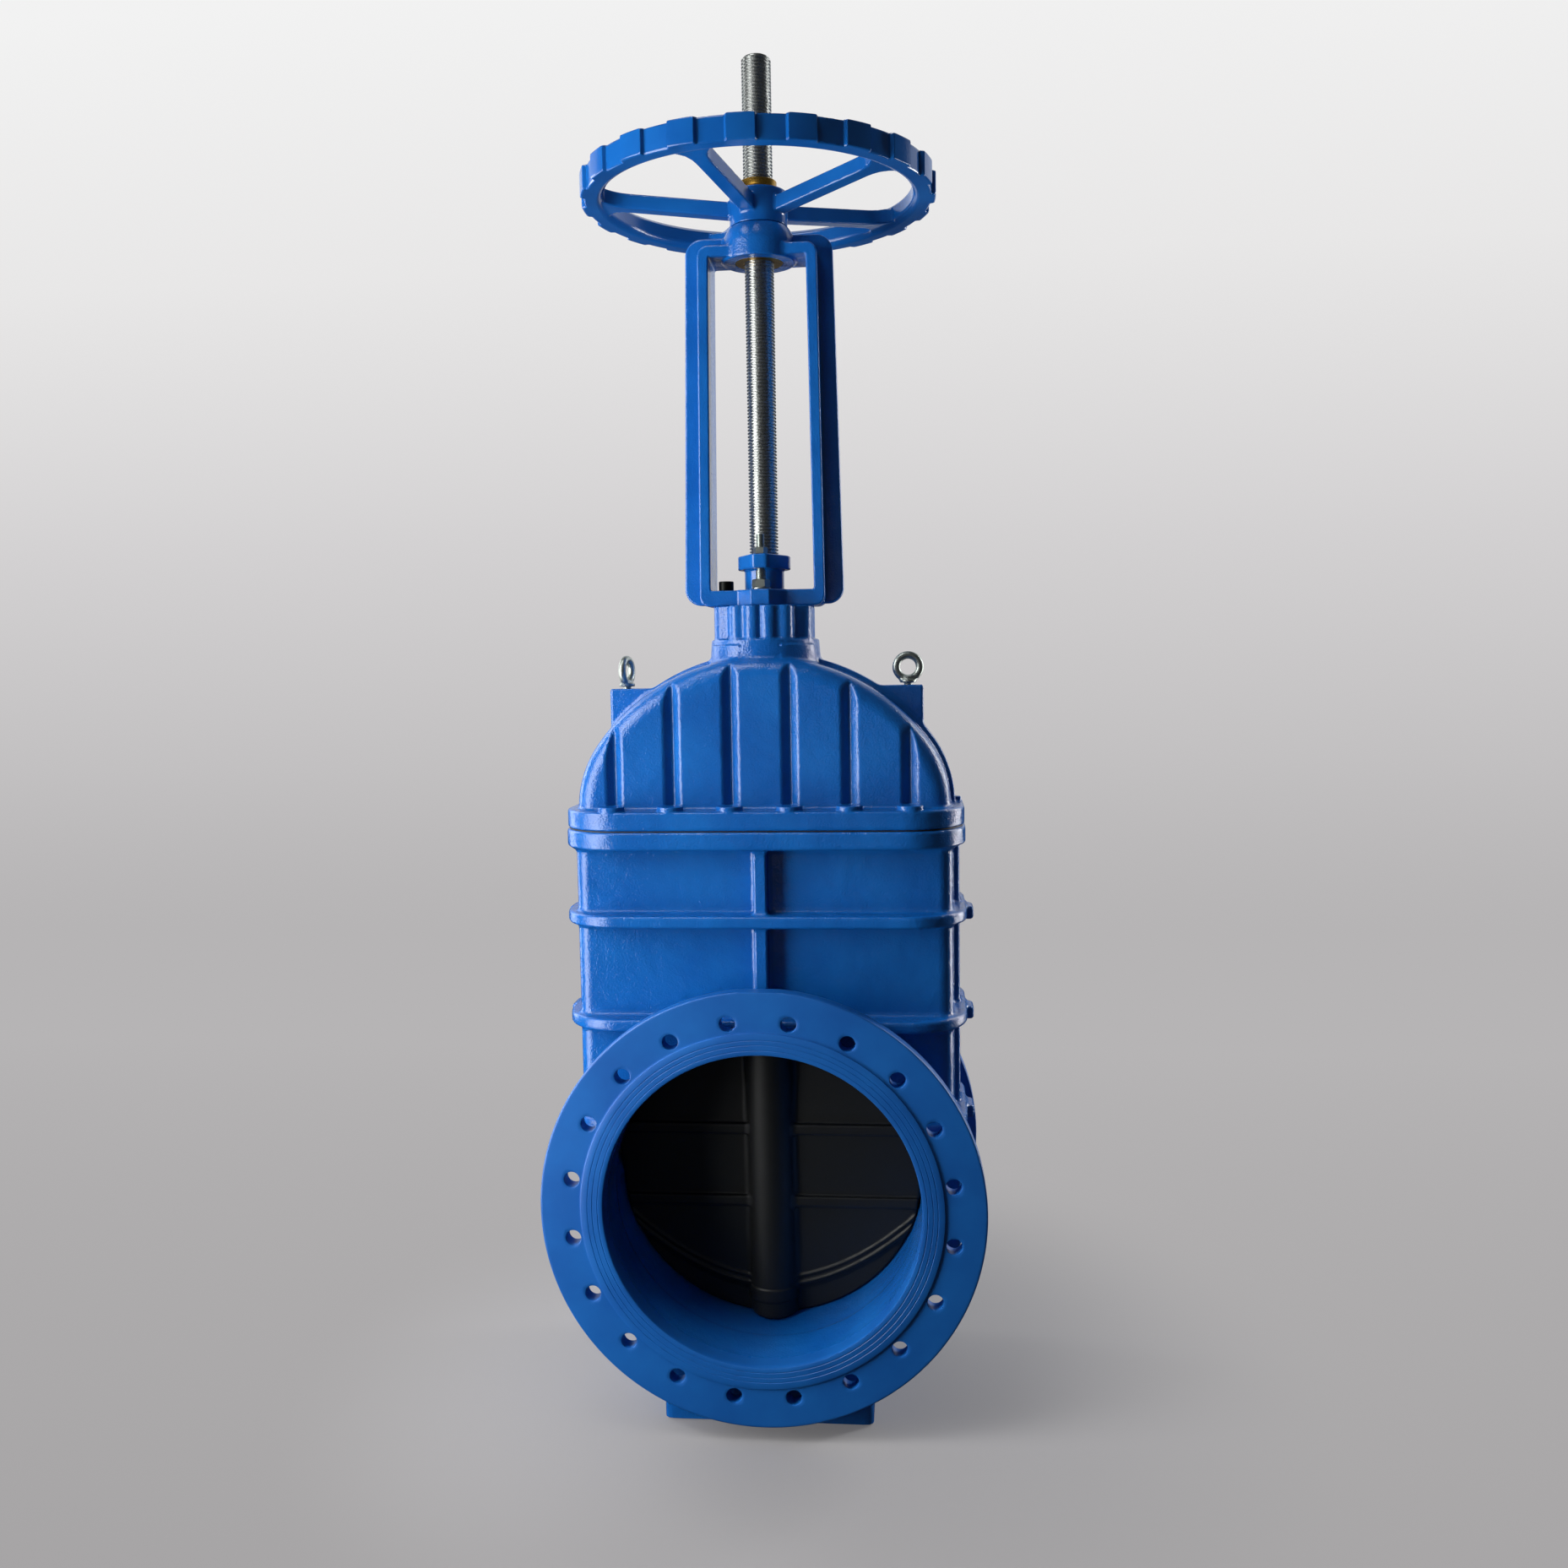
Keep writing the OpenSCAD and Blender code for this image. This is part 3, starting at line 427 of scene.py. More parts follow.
def epoxy(name, grain, roughness, sand_mm=3.4):
    """Fusion bonded epoxy on iron: a thick gloss coat that follows the metal's grain, grain metres deep
    and sand_mm wide, over the long waves of the mould, and a tone that drifts a little."""
    drift_mm, wave_mm, sand_share = 1000 / 9, 28.0, 0.55
    m, t, b = finish(name, "#105aa9", 0.0, roughness, IOR=1.5)
    place = node(t, "ShaderNodeTexCoord").outputs["Object"]
    tone = node(t, "ShaderNodeTexNoise", [(place, "Vector")], in_Scale=1000 / drift_mm, in_Detail=4.0)
    shades = node(t, "ShaderNodeValToRGB", [(tone.outputs["Fac"], "Fac")],
                  ((0.35, "#0d56a4"), (0.68, "#1462b1")))
    t.links.new(shades.outputs["Color"], b.inputs["Base Color"])
    sand = node(t, "ShaderNodeTexNoise", [(place, "Vector")], in_Scale=1000 / sand_mm, in_Detail=2.0,
                in_Roughness=0.5)
    wave = node(t, "ShaderNodeTexNoise", [(place, "Vector")], in_Scale=1000 / wave_mm, in_Detail=1.0)
    mix = node(t, "ShaderNodeMath", [(sand.outputs["Fac"], 0), (wave.outputs["Fac"], 2)],
               operation="MULTIPLY_ADD", in_1=sand_share)
    bump = node(t, "ShaderNodeBump", [(mix.outputs[0], "Height")], in_Distance=grain)
    t.links.new(bump.outputs["Normal"], b.inputs["Normal"])
    return m


# The coat: pebbled and glossy on the rough castings, nearly even on ground iron, and duller on the
# machined flanges.
mats = {
    "blue_coat": epoxy("epoxy_coat_on_sand_cast_iron", 0.0016, 0.17),
    "blue_fine": epoxy("epoxy_coat_on_fine_cast_iron", 0.0012, 0.17),
    "blue_smooth": epoxy("epoxy_coat_on_ground_iron", 0.0003, 0.16, 4.0),
    "blue_machined": epoxy("epoxy_coat_on_machined_iron", 0.00012, 0.4)}
# Moulded and turned finishes: each keeps the fine grain that its process leaves, in relief and in a
# gloss that drifts by gloss_drift. It is drawn a little coarser than it is, so that it shows. Moulded
# rubber and seals are dull and near black, turned brass and steel bright with soft streaks of light,
# zinc plate paler and duller than steel, black oxide nearly matt, and acetal a waxy cream.
gloss_drift = 0.07
for key, name, code, metal, rough, grain_mm, depth in (
        ("rubber", "epdm_moulded", "#060807", 0, 0.55, 1.6, 0.00006),
        ("black_seal", "epdm_seal", "#101112", 0, 0.6, 1.2, 0.00005),
        ("brass", "brass_turned", "#b08a3c", 1, 0.32, 2.0, 0.00003),
        ("zinc", "zinc_plated_steel", "#a3aaa4", 1, 0.38, 1.8, 0.00004),
        ("stem_steel", "stainless_steel_turned", "#a3a6a3", 1, 0.3, 2.0, 0.00003),
        ("black_steel", "black_oxide_steel", "#191a19", 1, 0.42, 1.2, 0.00003),
        ("shoe_plastic", "acetal_moulded", "#d9d4c2", 0, 0.4, 2.5, 0.00005)):
    mats[key], t, b = finish(name, code, metal, rough)
    place = node(t, "ShaderNodeTexCoord").outputs["Object"]
    grain = node(t, "ShaderNodeTexNoise", [(place, "Vector")], in_Scale=1000 / grain_mm, in_Detail=2.0)
    gloss = node(t, "ShaderNodeMapRange", [(grain.outputs["Fac"], "Value")], in_From_Min=0.3,
                 in_From_Max=0.7, in_To_Min=rough - gloss_drift, in_To_Max=rough + gloss_drift)
    t.links.new(gloss.outputs[0], b.inputs["Roughness"])
    bump = node(t, "ShaderNodeBump", [(grain.outputs["Fac"], "Height")], in_Distance=depth)
    t.links.new(bump.outputs["Normal"], b.inputs["Normal"])


# ---- body casting
def chest(x, y, z, low_r, half_w, taper, half_d, corner):
    """Chest: a cylinder about the bore below its axis, and above it straight walls with round corners,
    which spread from the cylinder's width to half_w over the height taper."""
    up = z - AXIS
    wall = np.where(up < 0, np.hypot(x, up) - low_r, np.abs(x) - ramp(up, 0, taper, low_r, half_w))
    return cut_round(wall, np.abs(y) - half_d, corner)


def body_shell(x, y, z):
    """Outside of the body: the chest, and joined to it the guide housings, three bands with a lug at
    each side, the keel, the top flange, the pipe and the foot."""
    ax, ay, up = np.abs(x), np.abs(y), z - AXIS
    taper, chest_top, housing_low, housing_full = 100, 690, -220, -150
    keel_w, keel_d, keel_low, foot_top = 13, 175, 250, 300
    shell = chest(x, y, z, CHEST_LOW_R, CHEST_W, taper, CHEST_D, CHEST_CORNER)
    shell = np.maximum(shell, up - chest_top)
    housing_w = ramp(up, housing_low, housing_full, CHEST_W - 40, HOUSING_W)
    housing = cut_round(ax - housing_w, ay - HOUSING_D, 8)
    shell = join_round(shell, cut_round(housing, housing_low - up, 20), 14)
    for low in BAND_UPS:
        band = cut_round(plan_rect(x, y, BAND_W, BAND_D, BAND_CORNER), slab(up, low, low + BAND_H), 6)
        lug = cut_round(cut_round(ax - LUG_W, ay - HOUSING_D, 7), slab(up, low - 10, low + 16), 7)
        shell = join_round(shell, join_round(band, lug, 8), 9)
    keel = cut_round(cut_round(ax - keel_w, ay - keel_d, 5), keel_low - up, 5)
    shell = join_round(shell, keel, 9)
    rim = cut_round(plan_rect(x, y, TOP_W, TOP_D, TOP_CORNER), slab(z, TOP_LOW, JOINT), 6)
    shell = join_round(shell, rim, 13)
    pipe = np.maximum(np.hypot(x, up) - PIPE_R, ay - BACK - 3)
    shell = join_round(shell, pipe, 22)
    foot = cut_round(cut_round(ax - FOOT_W, ay - FOOT_D, 14), z - foot_top, 10)
    return join_round(shell, np.maximum(foot, -z), 14)


def body_field(x, y, z):
    """Body casting without its end flanges: the shell, less the room in the foot, the cavity with the
    guide channels and the water way, and the recesses of the bonnet's screws."""
    ax, ay, up = np.abs(x), np.abs(y), z - AXIS
    taper, channel_low, room_corner = 120, -130, 10
    d = body_shell(x, y, z)
    room = cut_round(ax - FOOT_W + FOOT_WALL, ay - FOOT_D + FOOT_WALL, room_corner)
    d = np.maximum(d, -cut_round(room, z - FOOT_ROOM, 8))
    d = np.maximum(d, z - JOINT)
    cavity = chest(x, y, z, BORE_R, CHEST_W - CHEST_WALL, taper, CHEST_D - CHEST_WALL, 12)
    channel = cut_round(cut_round(ax - CHANNEL_W, ay - CHANNEL_D, 5), channel_low - up, 5)
    way = np.hypot(x, up) - BORE_R
    d = cut_round(d, -join_round(join_round(cavity, channel, 4), way, 6), 3)
    for sx in RIGHT_SCREW_X:
        recess = slab(z, TOP_LOW - 6, TOP_LOW + SCREW_RECESS)
        recess = np.maximum(np.hypot(ax - sx, ay - SCREW_Y) - SCREW_RECESS_R, recess)
        d = np.maximum(d, -recess)
    return np.maximum(d, -z)


# The grid is closer where edges and fillets run.
xs = both_ways(0, (30, 5), (310, 10), (412, 5))
ys = both_ways(0, (36, 6), (116, 13), (226, 4.5))
zs = steps(-12, (12, 6), (78, 11), (96, 6), (250, 11), (550, 8), (620, 5), (760, 10), (816, 5), (956, 10),
           (1012, 5), (1105, 10), (1130, 5), (1148, 6), (1164, 4))
piece("body_casting", "valve", "blue_coat", surface(body_field, xs, ys, zs), ["body"])


# ---- end flanges
def flange(side):
    """End flange: a profile turned about the bore, with a square patch round each bolt hole.
    A patch point is (1 - v) on the hole's circle and v on the patch's outline."""
    per_hole, patch_in, patch_out = 16, 346, 414
    edge_r, fillet_r, groove_deep, pipe_r, pipe_end = 3, 19.8, 0.7, PIPE_R + 0.2, 196
    turns = np.arange(HOLES * per_hole) * 2 * np.pi / (HOLES * per_hole)

    def ring(rows):
        """Rows of (radius, level) turned about the bore's axis."""
        r, h = np.array(rows, float).T
        p = np.stack([np.outer(np.cos(turns), r), np.broadcast_to(h, (len(turns), len(r))),
                      np.outer(np.sin(turns), r)], -1)
        return p.reshape(-1, 3), grid_quads(len(turns), len(r), True, False)

    inner = [(BORE_R, 214), (BORE_R, 240), (BORE_R, RAISED - 3), (BORE_R + 0.9, RAISED - 0.9),
             (BORE_R + 3, RAISED)]
    for r in (310, 320, 329):
        inner += [(r - 1.0, RAISED), (r - 0.3, RAISED - groove_deep), (r + 0.3, RAISED - groove_deep),
                  (r + 1.0, RAISED)]
    inner += [(RAISED_R - 1.5, RAISED), (RAISED_R - 0.4, RAISED - 0.4), (RAISED_R, RAISED - 1.4),
              (RAISED_R, FACE + 1.4), (RAISED_R + 0.6, FACE + 0.4), (RAISED_R + 2, FACE), (patch_in, FACE)]
    rim = FLANGE_R - edge_r
    outer = [(patch_out, FACE)]
    outer += [(rim + edge_r * math.sin(a), FACE - edge_r + edge_r * math.cos(a)) for a in QUARTER]
    outer += [(rim + edge_r * math.cos(a), BACK + edge_r - edge_r * math.sin(a)) for a in QUARTER]
    outer += [(patch_out, BACK)]
    neck = [(patch_in, BACK), (pipe_r + fillet_r, BACK)]
    neck += [(pipe_r + fillet_r * (1 - math.sin(a)), BACK - fillet_r * (1 - math.cos(a)))
             for a in (0.35, 0.7, 1.05, 1.4)]
    neck += [(pipe_r, pipe_end)]

    # (radius, v, level): from the patch's outline to the hole's broken edge, through it and out behind
    path = [(HOLE_R + 0.7, v, FACE) for v in (1.0, 0.66, 0.36, 0.14, 0.0)]
    path += [(HOLE_R + 0.2, 0, FACE - 0.3), (HOLE_R, 0, FACE - 0.9), (HOLE_R, 0, BACK + 1)]
    path += [(HOLE_R + 1, v, BACK) for v in (0.0, 0.4, 1.0)]
    s, across = np.arange(per_hole) / per_hole, patch_out - patch_in
    out_r = np.concatenate([np.full(per_hole, patch_out), patch_out - across * s,
                            np.full(per_hole, patch_in), patch_in + across * s])
    parts = [ring(inner), ring(outer), ring(neck)]
    for k in range(HOLES):
        low, mid, high = [(k + share) * 2 * np.pi / HOLES for share in (0, 0.5, 1)]
        out_t = np.concatenate([low + (high - low) * s, np.full(per_hole, high), high - (high - low) * s,
                                np.full(per_hole, low)])
        ox, oz = out_r * np.cos(out_t), out_r * np.sin(out_t)
        cx, cz = HOLE_CIRCLE_R * math.cos(mid), HOLE_CIRCLE_R * math.sin(mid)
        way = np.arctan2(oz - cz, ox - cx)
        p = np.stack([np.stack([cx + r * np.cos(way) * (1 - v) + (ox - cx) * v, np.full(len(way), h),
                                cz + r * np.sin(way) * (1 - v) + (oz - cz) * v], -1) for r, v, h in path])
        parts.append((p.reshape(-1, 3), grid_quads(len(path), len(way), False, True)))
    points, faces = weld(*join(*parts))
    points[:, 2] = np.minimum(points[:, 2], FLANGE_FLAT)
    return points * [1, side, 1] + [0, 0, AXIS], faces


for side, label in ((-1, "front"), (1, "back")):
    piece(f"{label}_end_flange", "valve", "blue_coat", flange(side), ["body"], finish_="blue_machined")


# ---- bonnet casting
def arch(x, z, inset):
    """Distance to the three-centred arch: two haunches and a crown that meets them."""
    rise = DOME_TOP - DOME_BASE
    k = rise - HAUNCH_R
    drop = (HAUNCH_X ** 2 - k ** 2) / (2 * k)
    up, ax = z - DOME_BASE, np.abs(x)
    side = np.hypot(ax - HAUNCH_X, np.maximum(up, 0)) - HAUNCH_R
    side = np.where(up < 0, ax - HAUNCH_X - HAUNCH_R, side)
    crown = np.hypot(ax, up + drop) - (rise + drop)
    on_crown = (up * HAUNCH_X > drop * (ax - HAUNCH_X)) & (up + drop > drop / HAUNCH_X * ax)
    return np.where(on_crown, crown, side) + inset


def dome_field(x, y, z):
    """Outside of the dome: the arch, stepped in beside its middle band, with six upright flutes a side
    whose section is a flat V, and a block under each lifting eye."""
    ax, ay = np.abs(x), np.abs(y)
    block_x, block_w, block_d, block_low, flute_low = 226, 84, 25, 1315, DOME_BASE + 8
    outside = arch(x, z, 0)
    dome = cut_round(outside + DOME_STEP, ay - DOME_D, SHOULDER_R)
    off = np.min([np.abs(ax - sx) + 0 * z for sx in RIGHT_SCREW_X], axis=0)
    flute = (ay - DOME_D + FLUTE_DEEP * (1 - off / FLUTE_HALF)) / math.hypot(1, FLUTE_DEEP / FLUTE_HALF)
    dome = cut_round(dome, np.where(z > flute_low, flute, flute - 30), 3)
    d = join_round(dome, cut_round(outside, ay - HOUSING_D, 5), 7)
    block = cut_round(cut_round(np.abs(ax - block_x) - block_w, ay - block_d, 5), z - EYE_BASE, 3)
    return join_round(d, np.maximum(block, block_low - z), 4)


def neck_field(x, y, z):
    """Neck: a core with twelve lobes, each (angle from the front or back, radius), on a base that
    narrows upwards and has a cast pad on each quarter."""
    ax, ay, ring = np.abs(x), np.abs(y), np.hypot(x, y)
    base_top, neck_low, pad_arc, pad_up, pad_w, pad_h, pad_proud = 1518, 1440, 81, 1481, 43, 26, 3
    lobes = ring - NECK_R
    for angle, r in ((10, 18), (30, 18), (62, 26)):
        t, out = math.radians(angle), LOBE_R - r
        lobes = join_round(lobes, np.hypot(ax - out * math.sin(t), ay - out * math.cos(t)) - r, 8)
    lobes = cut_round(lobes, z - NECK_TOP, 1.5)
    base_r = 113 - 7 * (z - 1423) / 95
    base = cut_round(ring - base_r, z - base_top, 4)
    pad = plan_rect(107 * np.arctan2(ax, ay) - pad_arc, z - pad_up, pad_w, pad_h, 6)
    base = join_round(base, cut_round(pad, ring - base_r - pad_proud, 2), 2)
    return np.maximum(join_round(lobes, base, 3), neck_low - z)


def bonnet_field(x, y, z):
    """Bonnet casting: dome, neck and a flange with the screws' bosses and a dowel boss at each end,
    less the arched hollow, the stem's way and the packing's chamber."""
    ax, ay, ring = np.abs(x), np.abs(y), np.hypot(x, y)
    boss_r, boss_low, dowel_x, dowel_r, hollow_inset, hollow_d = 25, 1180, 374, 9, 30, 112
    d = join_round(dome_field(x, y, z), neck_field(x, y, z), 7)
    foot = plan_rect(x, y, TOP_W - 2, TOP_D - 2, TOP_CORNER - 2)
    d = join_round(d, cut_round(foot, slab(z, JOINT + GASKET, DOME_BASE), 5), 7)
    for sx in RIGHT_SCREW_X:
        boss = np.hypot(ax - sx, ay - SCREW_Y) - boss_r
        d = join_round(d, cut_round(boss, slab(z, boss_low, DOME_BASE + 9), 1.5), 1.5)
    dowel = cut_round(np.hypot(ax - dowel_x, y) - dowel_r, slab(z, boss_low, DOME_BASE + 10), 3)
    d = join_round(d, dowel, 4)
    d = np.maximum(d, -cut_round(arch(x, z, hollow_inset), ay - hollow_d, 20))
    d = np.maximum(d, -(ring - STEM_WAY_R))
    d = np.maximum(d, -np.maximum(ring - PACKING_R, PACKING_LOW - z))
    return np.maximum(d, JOINT + GASKET - z)


def flute_lines(end, gap):
    """Grid lines with cells centred on each flute's floor and lips, mirrored about zero."""
    beside = np.array((2.1, 6.1, 10.2, 14.3, 18.7))
    marks = [sx + k for sx in RIGHT_SCREW_X for k in (*-beside[::-1], *beside)]
    return both_ways(0, *[(v, gap) for v in marks + [end]])


xs = flute_lines(392, 4.5)
ys = both_ways(0, (112, 3.8), (196, 4.4))
zs = steps(1153, (1165, 4), (1188, 5), (1209, 2.6), (1450, 5.2), (1588, 3.7))
piece("bonnet_casting", "valve", "blue_coat", surface(bonnet_field, xs, ys, zs), ["bonnet"])


# ---- yoke
def leg_share(z):
    """Share of the legs' height, a little beyond their feet and their tops."""
    return np.clip((z - NECK_TOP) / (LEG_TOP - NECK_TOP), -0.1, 1.1)


def yoke_field(x, y, z):
    """Yoke: a strip with a window in it, which makes the plate, two leaning legs and the crossbar, a
    rib round its outside, lugs for the studs and the hub, less the sleeve's bore and the studs' holes."""
    ax, ay, ring = np.abs(x), np.abs(y), np.hypot(x, y)
    hub_r, hub_slope, hub_bore, step_r, step_h, stud_hole, edge = 70, 0.737, 42.3, 46.3, 8.3, 11, 3
    leaned = LEG_LEAN * leg_share(z)
    profile = cut_round(ax - (LEG_W - leaned), slab(z, NECK_TOP, LEG_TOP), 20)
    window = cut_round(ax - (WINDOW_W - leaned), slab(z, PLATE_TOP, BAR_LOW), 4)
    strip = cut_round(cut_round(profile, ay - LEG_D, edge), -window, edge)
    rib = ax - ramp(z, NECK_TOP, BAR_TOP, RIB_LOW_W, RIB_TOP_W)
    rib = cut_round(cut_round(rib, slab(z, NECK_TOP + 4, BAR_TOP), 32), -(window - 10), 14)
    d = join_round(strip, cut_round(rib, ay - RIB_D, 4), 5)
    # lug: a rectangle with its corners cut along 40 x + 28 y = 3240, and 48.8 = hypot(40, 28)
    lug = np.maximum(plan_rect(x, y, 46, 90, 3), (40 * ax + 28 * ay - 3240) / 48.8)
    d = join_round(d, cut_round(lug, slab(z, NECK_TOP, PLATE_TOP), 2.5), 3)
    # hub: a cylinder that narrows by hub_slope above the bar, and 0.805 = cos(atan(hub_slope))
    cone = 0.805 * (ring - hub_r + (z - BAR_TOP + 1) * hub_slope)
    hub = cut_round(ring - hub_r, cone, 10)
    d = join_round(d, cut_round(hub, slab(z, HUB_LOW, HUB_TOP), 2.5), 5)
    d = cut_round(d, -(ring - hub_bore), 1.5)
    d = np.maximum(d, -np.maximum(ring - step_r, z - HUB_LOW - step_h))
    d = np.maximum(d, -np.maximum(np.hypot(x, ay - STUD_Y) - stud_hole, z - PLATE_TOP - 20))
    return np.maximum(d, NECK_TOP - z)


def lean(a, b, c):
    """Grid lines that lean in with the legs, by up to 8 at the strips and 15 at the ribs."""
    inward = leg_share(c) * np.interp(np.abs(a), (40, 100, 123, 158), (0, 8, 8, 15))
    return [a - np.sign(a) * inward, b + 0 * a, c + 0 * a]


xs = both_ways(0, (94, 3.5), (162, 2.6))
ys = both_ways(0, (54, 2.6), (96, 3))
zs = steps(1577, (1640, 3), (2225, 7), (2312, 2.8))
shape = surface(yoke_field, xs, ys, zs, lean)
piece("yoke_casting", "valve", "blue_coat", shape, ["yoke"], finish_="blue_fine")


# ---- handwheel
def wheel_rim(ring, t, z):
    """Rim: grips stand out by GRIP_DEEP round it, and its inside edges are bevelled. 0.707 is 1 over
    hypot(1, 1) and 17.2 is hypot(14, 10), which make distances of the two bevels."""
    grip = np.abs((t - 1.5 * np.pi - GRIP_TURN) * GRIPS / np.pi % 2 - 1)
    outer = ring - (WHEEL_R - GRIP_DEEP + GRIP_DEEP * np.clip((grip - 0.5) * 14 + 0.5, 0, 1))
    up = z - RIM_LOW
    bevel = np.maximum((RIM_IN + 9 - ring - up) * 0.707, ((up - 35) * 14 - (ring - RIM_IN) * 10) / 17.2)
    rim = cut_round(outer, cut_round(RIM_IN - ring, bevel, 2), 4)
    return cut_round(rim, slab(z, RIM_LOW, RIM_LOW + RIM_H), 3)


def wheel_field(x, y, z):
    """Rim with its grips, dished spokes that widen into the rim, and the hub, less the sleeve's bore."""
    ring, t = np.hypot(x, y), np.arctan2(y, x)
    dish, widening, flare_from, flare_run, spoke_end = 28, 34, 240, 62, 318
    step = 2 * np.pi / SPOKES
    near = (t - math.radians(SPOKE_START) + step / 2) % step - step / 2
    along, across = ring * np.cos(near), ring * np.sin(near)
    rise = ramp(along, 60, 300, 0, dish)
    half = SPOKE_HALF + widening * np.clip((along - flare_from) / flare_run, 0, 1) ** 3
    level = slab(z - rise, SPOKE_LOW, SPOKE_LOW + SPOKE_H)
    spoke = cut_round((np.abs(across) - half) * 0.9, level, 3)
    spoke = np.maximum(np.maximum(spoke, ring - spoke_end), 30 - along)
    hub = cut_round(ring - HUB_R, slab(z, WHEEL_LOW - 2.2, WHEEL_LOW + HUB_H), 1.5)
    d = join_round(join_round(wheel_rim(ring, t, z), spoke, 3), hub, 5)
    d = np.maximum(d, -np.maximum(ring - HUB_STEP_R, z - WHEEL_LOW))
    return np.maximum(d, -(ring - WHEEL_BORE_R))


def polar(a, b, c):
    """Grid of angle, radius and height as x = r cos a, y = r sin a."""
    return [b * np.cos(a) + 0 * c, b * np.sin(a) + 0 * c, c + 0 * a * b]


# The angles go once round and overlap by one cell, whose two copies are welded.
cells = 720
angles = (np.arange(cells + 2) - 0.5) * (2 * np.pi / cells) + 1.5 * np.pi + GRIP_TURN - np.pi / GRIPS
radii = steps(32, (40, 4), (54, 7), (76, 3.5), (280, 12), (345, 2.6))
p, f, _ = surface(wheel_field, angles, radii, steps(2303, (2309, 1), (2399, 3)), polar)
p, f = weld(p, f)
shape = p, f, unit(field_slope(wheel_field, p)[1])
piece("handwheel_casting", "wheel", "blue_coat", shape, ["handwheel"], finish_="blue_smooth")


# ---- gland
def gland_field(x, y, z):
    """Gland: in plan, straight tangents from the middle circle to an end circle round each stud, and a
    nose below that goes into the packing's chamber. b is the tangent's sine, a its cosine."""
    ax, ay, ring = np.abs(x), np.abs(y), np.hypot(x, y)
    nose_r, nose_top, stud_hole, half_length = 39, 1670, 8.5, 85
    b = (GLAND_R - GLAND_END_R) / STUD_Y
    a = math.sqrt(1 - b ** 2)
    k = a * ay - b * ax
    end = np.hypot(ax, ay - STUD_Y)
    plan = np.where(k > a * STUD_Y, end - GLAND_END_R, a * ax + b * ay - GLAND_R)
    plan = np.where(k < 0, ring - GLAND_R, plan)
    d = cut_round(cut_round(plan, ay - half_length, 2), slab(z, GLAND_LOW, GLAND_TOP), 3)
    d = join_round(d, np.maximum(ring - nose_r, slab(z, PACKING_TOP, nose_top)), 4)
    d = np.maximum(d, -(ring - STEM_WAY_R))
    return np.maximum(d, -(end - stud_hole))


shape = surface(gland_field, both_ways(0, (58, 2)), both_ways(0, (92, 2)), steps(1557, (1640, 6), (1684, 2)))
piece("gland_casting", "valve", "blue_coat", shape, ["gland"], finish_="blue_smooth")


# ---- wedge
def wedge_field(x, y, z):
    """Wedge: a disc below the bore's axis and straight sides above it, two pairs of ribs across, two
    seal ridges that follow a bow, the stem's tube with a collar, and a tongue for each guide shoe.
    The bow rises as up = -222 + 0.04 x + 0.00156 x^2, so its slope is 0.04 + 0.00312 x."""
    ax, ay, up = np.abs(x), np.abs(y), z - AXIS
    top = np.maximum(ax - ramp(up, 0, 120, WEDGE_R, WEDGE_W), np.hypot(x, up + 10) - 340)
    profile = np.where(up < 0, np.hypot(x, up) - WEDGE_R, top)
    bow = -222 + 0.04 * ax + 0.00156 * ax ** 2
    half = ramp(up, -300, 120, 34, 62) - ramp(bow - up, 20, 34, 0, 7)
    d = cut_round(profile, ay - half, 6)
    for low in (-66, 86):
        rib = cut_round(cut_round(profile + 3, ay - half - 8, 3), slab(up, low, low + 22), 4)
        d = join_round(d, rib, 4)
    for drop in (0, 16):
        ridge = np.abs(up - bow + drop) / np.hypot(1, 0.04 + 0.00312 * ax) - 3
        d = join_round(d, cut_round(cut_round(ridge, ay - half - 3, 2.6), profile + 2, 2), 3)
    tube = np.hypot(x, ay - ramp(up, -300, 330, 16, 58)) - TUBE_R
    d = join_round(d, cut_round(tube, profile + 1, 6), 8)
    collar = cut_round(tube - 2.5, slab(up, -262, -236), 2)
    d = join_round(d, cut_round(collar, profile + 1, 2), 3)
    tongue = np.maximum(np.maximum(ax - TONGUE_X, ay - TONGUE_D), slab(z, TONGUE_LOW, TONGUE_TOP))
    d = join_round(d, tongue, 3)
    return np.maximum(d, -np.maximum(np.hypot(x, y) - 28.8, 715 - z))


xs = both_ways(0, (325, 3.7))
ys = both_ways(0, (25, 8), (115, 2.8))
zs = steps(146, (160, 4), (365, 2.8), (412, 4), (530, 8), (565, 4), (790, 8))
piece("wedge_rubber", "rising_stem", "rubber", surface(wedge_field, xs, ys, zs), ["wedge"])


def box_field(x, y, z, half_w, half_d, low, high, r):
    """Box with all its edges rounded by r."""
    return cut_round(plan_rect(x, y, half_w, half_d, r), slab(z, low, high), r)


def shoe_field(x, y, z):
    """Guide shoe on the right: a box with a slot for the wedge's tongue."""
    slot = np.maximum(np.abs(y) - TONGUE_D, slab(z, TONGUE_LOW, TONGUE_TOP))
    return np.maximum(box_field(x - SHOE_X, y, z, 26, 14, SHOE_LOW, SHOE_TOP, 3),
                      -np.maximum(slot, x - TONGUE_X))


def nut_field(x, y, z):
    """Wedge nut: a box on the wedge's top with a hole for the stem."""
    hole = np.hypot(x, y) - 28.7
    return np.maximum(box_field(x, y, z, 52, 46, WEDGE_TOP, WEDGE_TOP + 45, 3), -hole)


